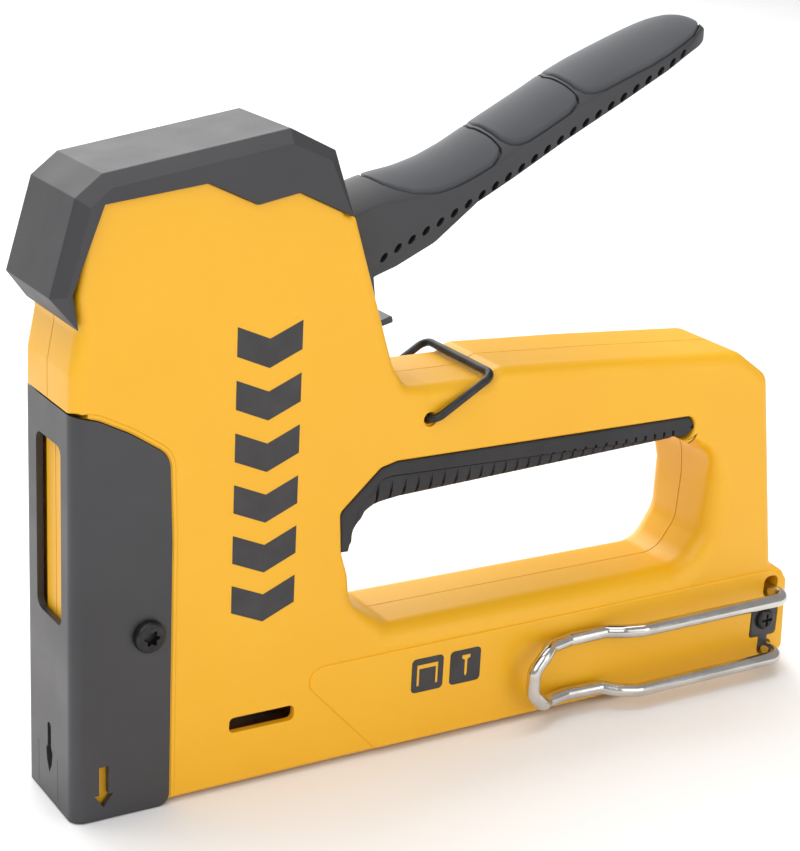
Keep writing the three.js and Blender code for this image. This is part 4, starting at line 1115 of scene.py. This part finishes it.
class STAPLEGUN_OT_stage(StapleGunPiece, bpy.types.Operator):
    """Lays a pale floor and sets the soft lights and the camera"""
    bl_idname = "staplegun.stage"
    bl_label = "Stage"

    def build(self, sizes):
        scene = bpy.context.scene
        scene.view_settings.view_transform = "Standard"
        mesh = bpy.data.meshes.new("floor")
        size = 4.0
        level = COVER_LOW.z - 0.0002
        corners = [(-size, -size, level), (size, -size, level), (size, size, level), (-size, size, level)]
        mesh.from_pydata(corners, [], [(0, 1, 2, 3)])
        floor = linked("floor", mesh)
        mesh.materials.append(finish(pale_board, sizes))
        world = bpy.data.worlds.new("soft room")
        scene.world = world
        world.use_nodes = True
        room = world.node_tree.nodes["Background"]
        room.inputs["Color"].default_value = (1, 1, 1, 1)
        room.inputs["Strength"].default_value = 0.42
        centre = Vector((0.09, 0, 0.08))
        # Places and widths in metres.
        for name, spot, power, width in (
            ("key", (-0.75, -0.75, 0.9), sizes.key * 0.62, 0.9),
            ("top", (0.0, 0.35, 1.25), sizes.key * 2.0, 1.3),
            ("side", (0.45, -1.1, 0.45), sizes.key * 0.42, 0.8),
            ("back", (0.2, 1.6, 0.7), sizes.key * 2.2, 1.6),
        ):
            light = bpy.data.lights.new(name, "AREA")
            light.energy = power
            light.size = width
            lamp = bpy.data.objects.new(name, light)
            scene.collection.objects.link(lamp)
            lamp.location = spot
            lamp.rotation_euler = (centre - Vector(spot)).to_track_quat("-Z", "Y").to_euler()
        camera = bpy.data.objects.new("camera", bpy.data.cameras.new("camera"))
        scene.collection.objects.link(camera)
        camera.data.sensor_width = 36
        camera.data.lens = sizes.lens
        # The camera looks forward and to the right, a little downwards.
        yaw, pitch, roll = (math.radians(a) for a in (31.733, 18.786, -2.952))
        forward, fall = Vector((math.sin(yaw), math.cos(yaw), 0)), Vector((0, 0, -1))
        ahead = forward * math.cos(pitch) + fall * math.sin(pitch)
        down = fall * math.cos(pitch) - forward * math.sin(pitch)
        flat = Vector((math.cos(yaw), -math.sin(yaw), 0))
        right = flat * math.cos(roll) + down * math.sin(roll)
        below = down * math.cos(roll) - flat * math.sin(roll)
        turn = Matrix((right, -below, -ahead)).transposed().to_4x4()
        spot = Vector(ORIGIN) + Vector((-140.96, -360.94, 216.93)) * MM
        camera.matrix_world = Matrix.Translation(spot) @ turn
        camera.data.clip_start = 0.01
        camera.data.clip_end = 20
        scene.camera = camera


PIECES = (STAPLEGUN_OT_inside, STAPLEGUN_OT_housing, STAPLEGUN_OT_nose, STAPLEGUN_OT_case_screws,
          STAPLEGUN_OT_cap,
          STAPLEGUN_OT_insert, STAPLEGUN_OT_lever, STAPLEGUN_OT_wires, STAPLEGUN_OT_clamp, STAPLEGUN_OT_marks,
          STAPLEGUN_OT_stage)


class STAPLEGUN_PT_pieces(bpy.types.Panel):
    """Lists the sizes and the pieces"""
    bl_idname = "STAPLEGUN_PT_pieces"
    bl_label = "Staple gun"
    bl_space_type = "VIEW_3D"
    bl_region_type = "UI"
    bl_category = "Staple gun"

    def draw(self, context):
        sizes = context.scene.staple_gun_sizes
        for name in sizes.bl_rna.properties.keys():
            if name not in ("rna_type", "name"):
                self.layout.prop(sizes, name)
        for piece in PIECES:
            self.layout.operator(piece.bl_idname)


CLASSES = (StapleGunSizes, *PIECES, STAPLEGUN_PT_pieces)


def register():
    for made in CLASSES:
        bpy.utils.register_class(made)
    bpy.types.Scene.staple_gun_sizes = bpy.props.PointerProperty(type=StapleGunSizes)


def unregister():
    del bpy.types.Scene.staple_gun_sizes
    for made in reversed(CLASSES):
        bpy.utils.unregister_class(made)


def main():
    register()
    for piece in PIECES:
        family, name = piece.bl_idname.split(".")
        getattr(getattr(bpy.ops, family), name)()


if __name__ == "__main__":
    main()
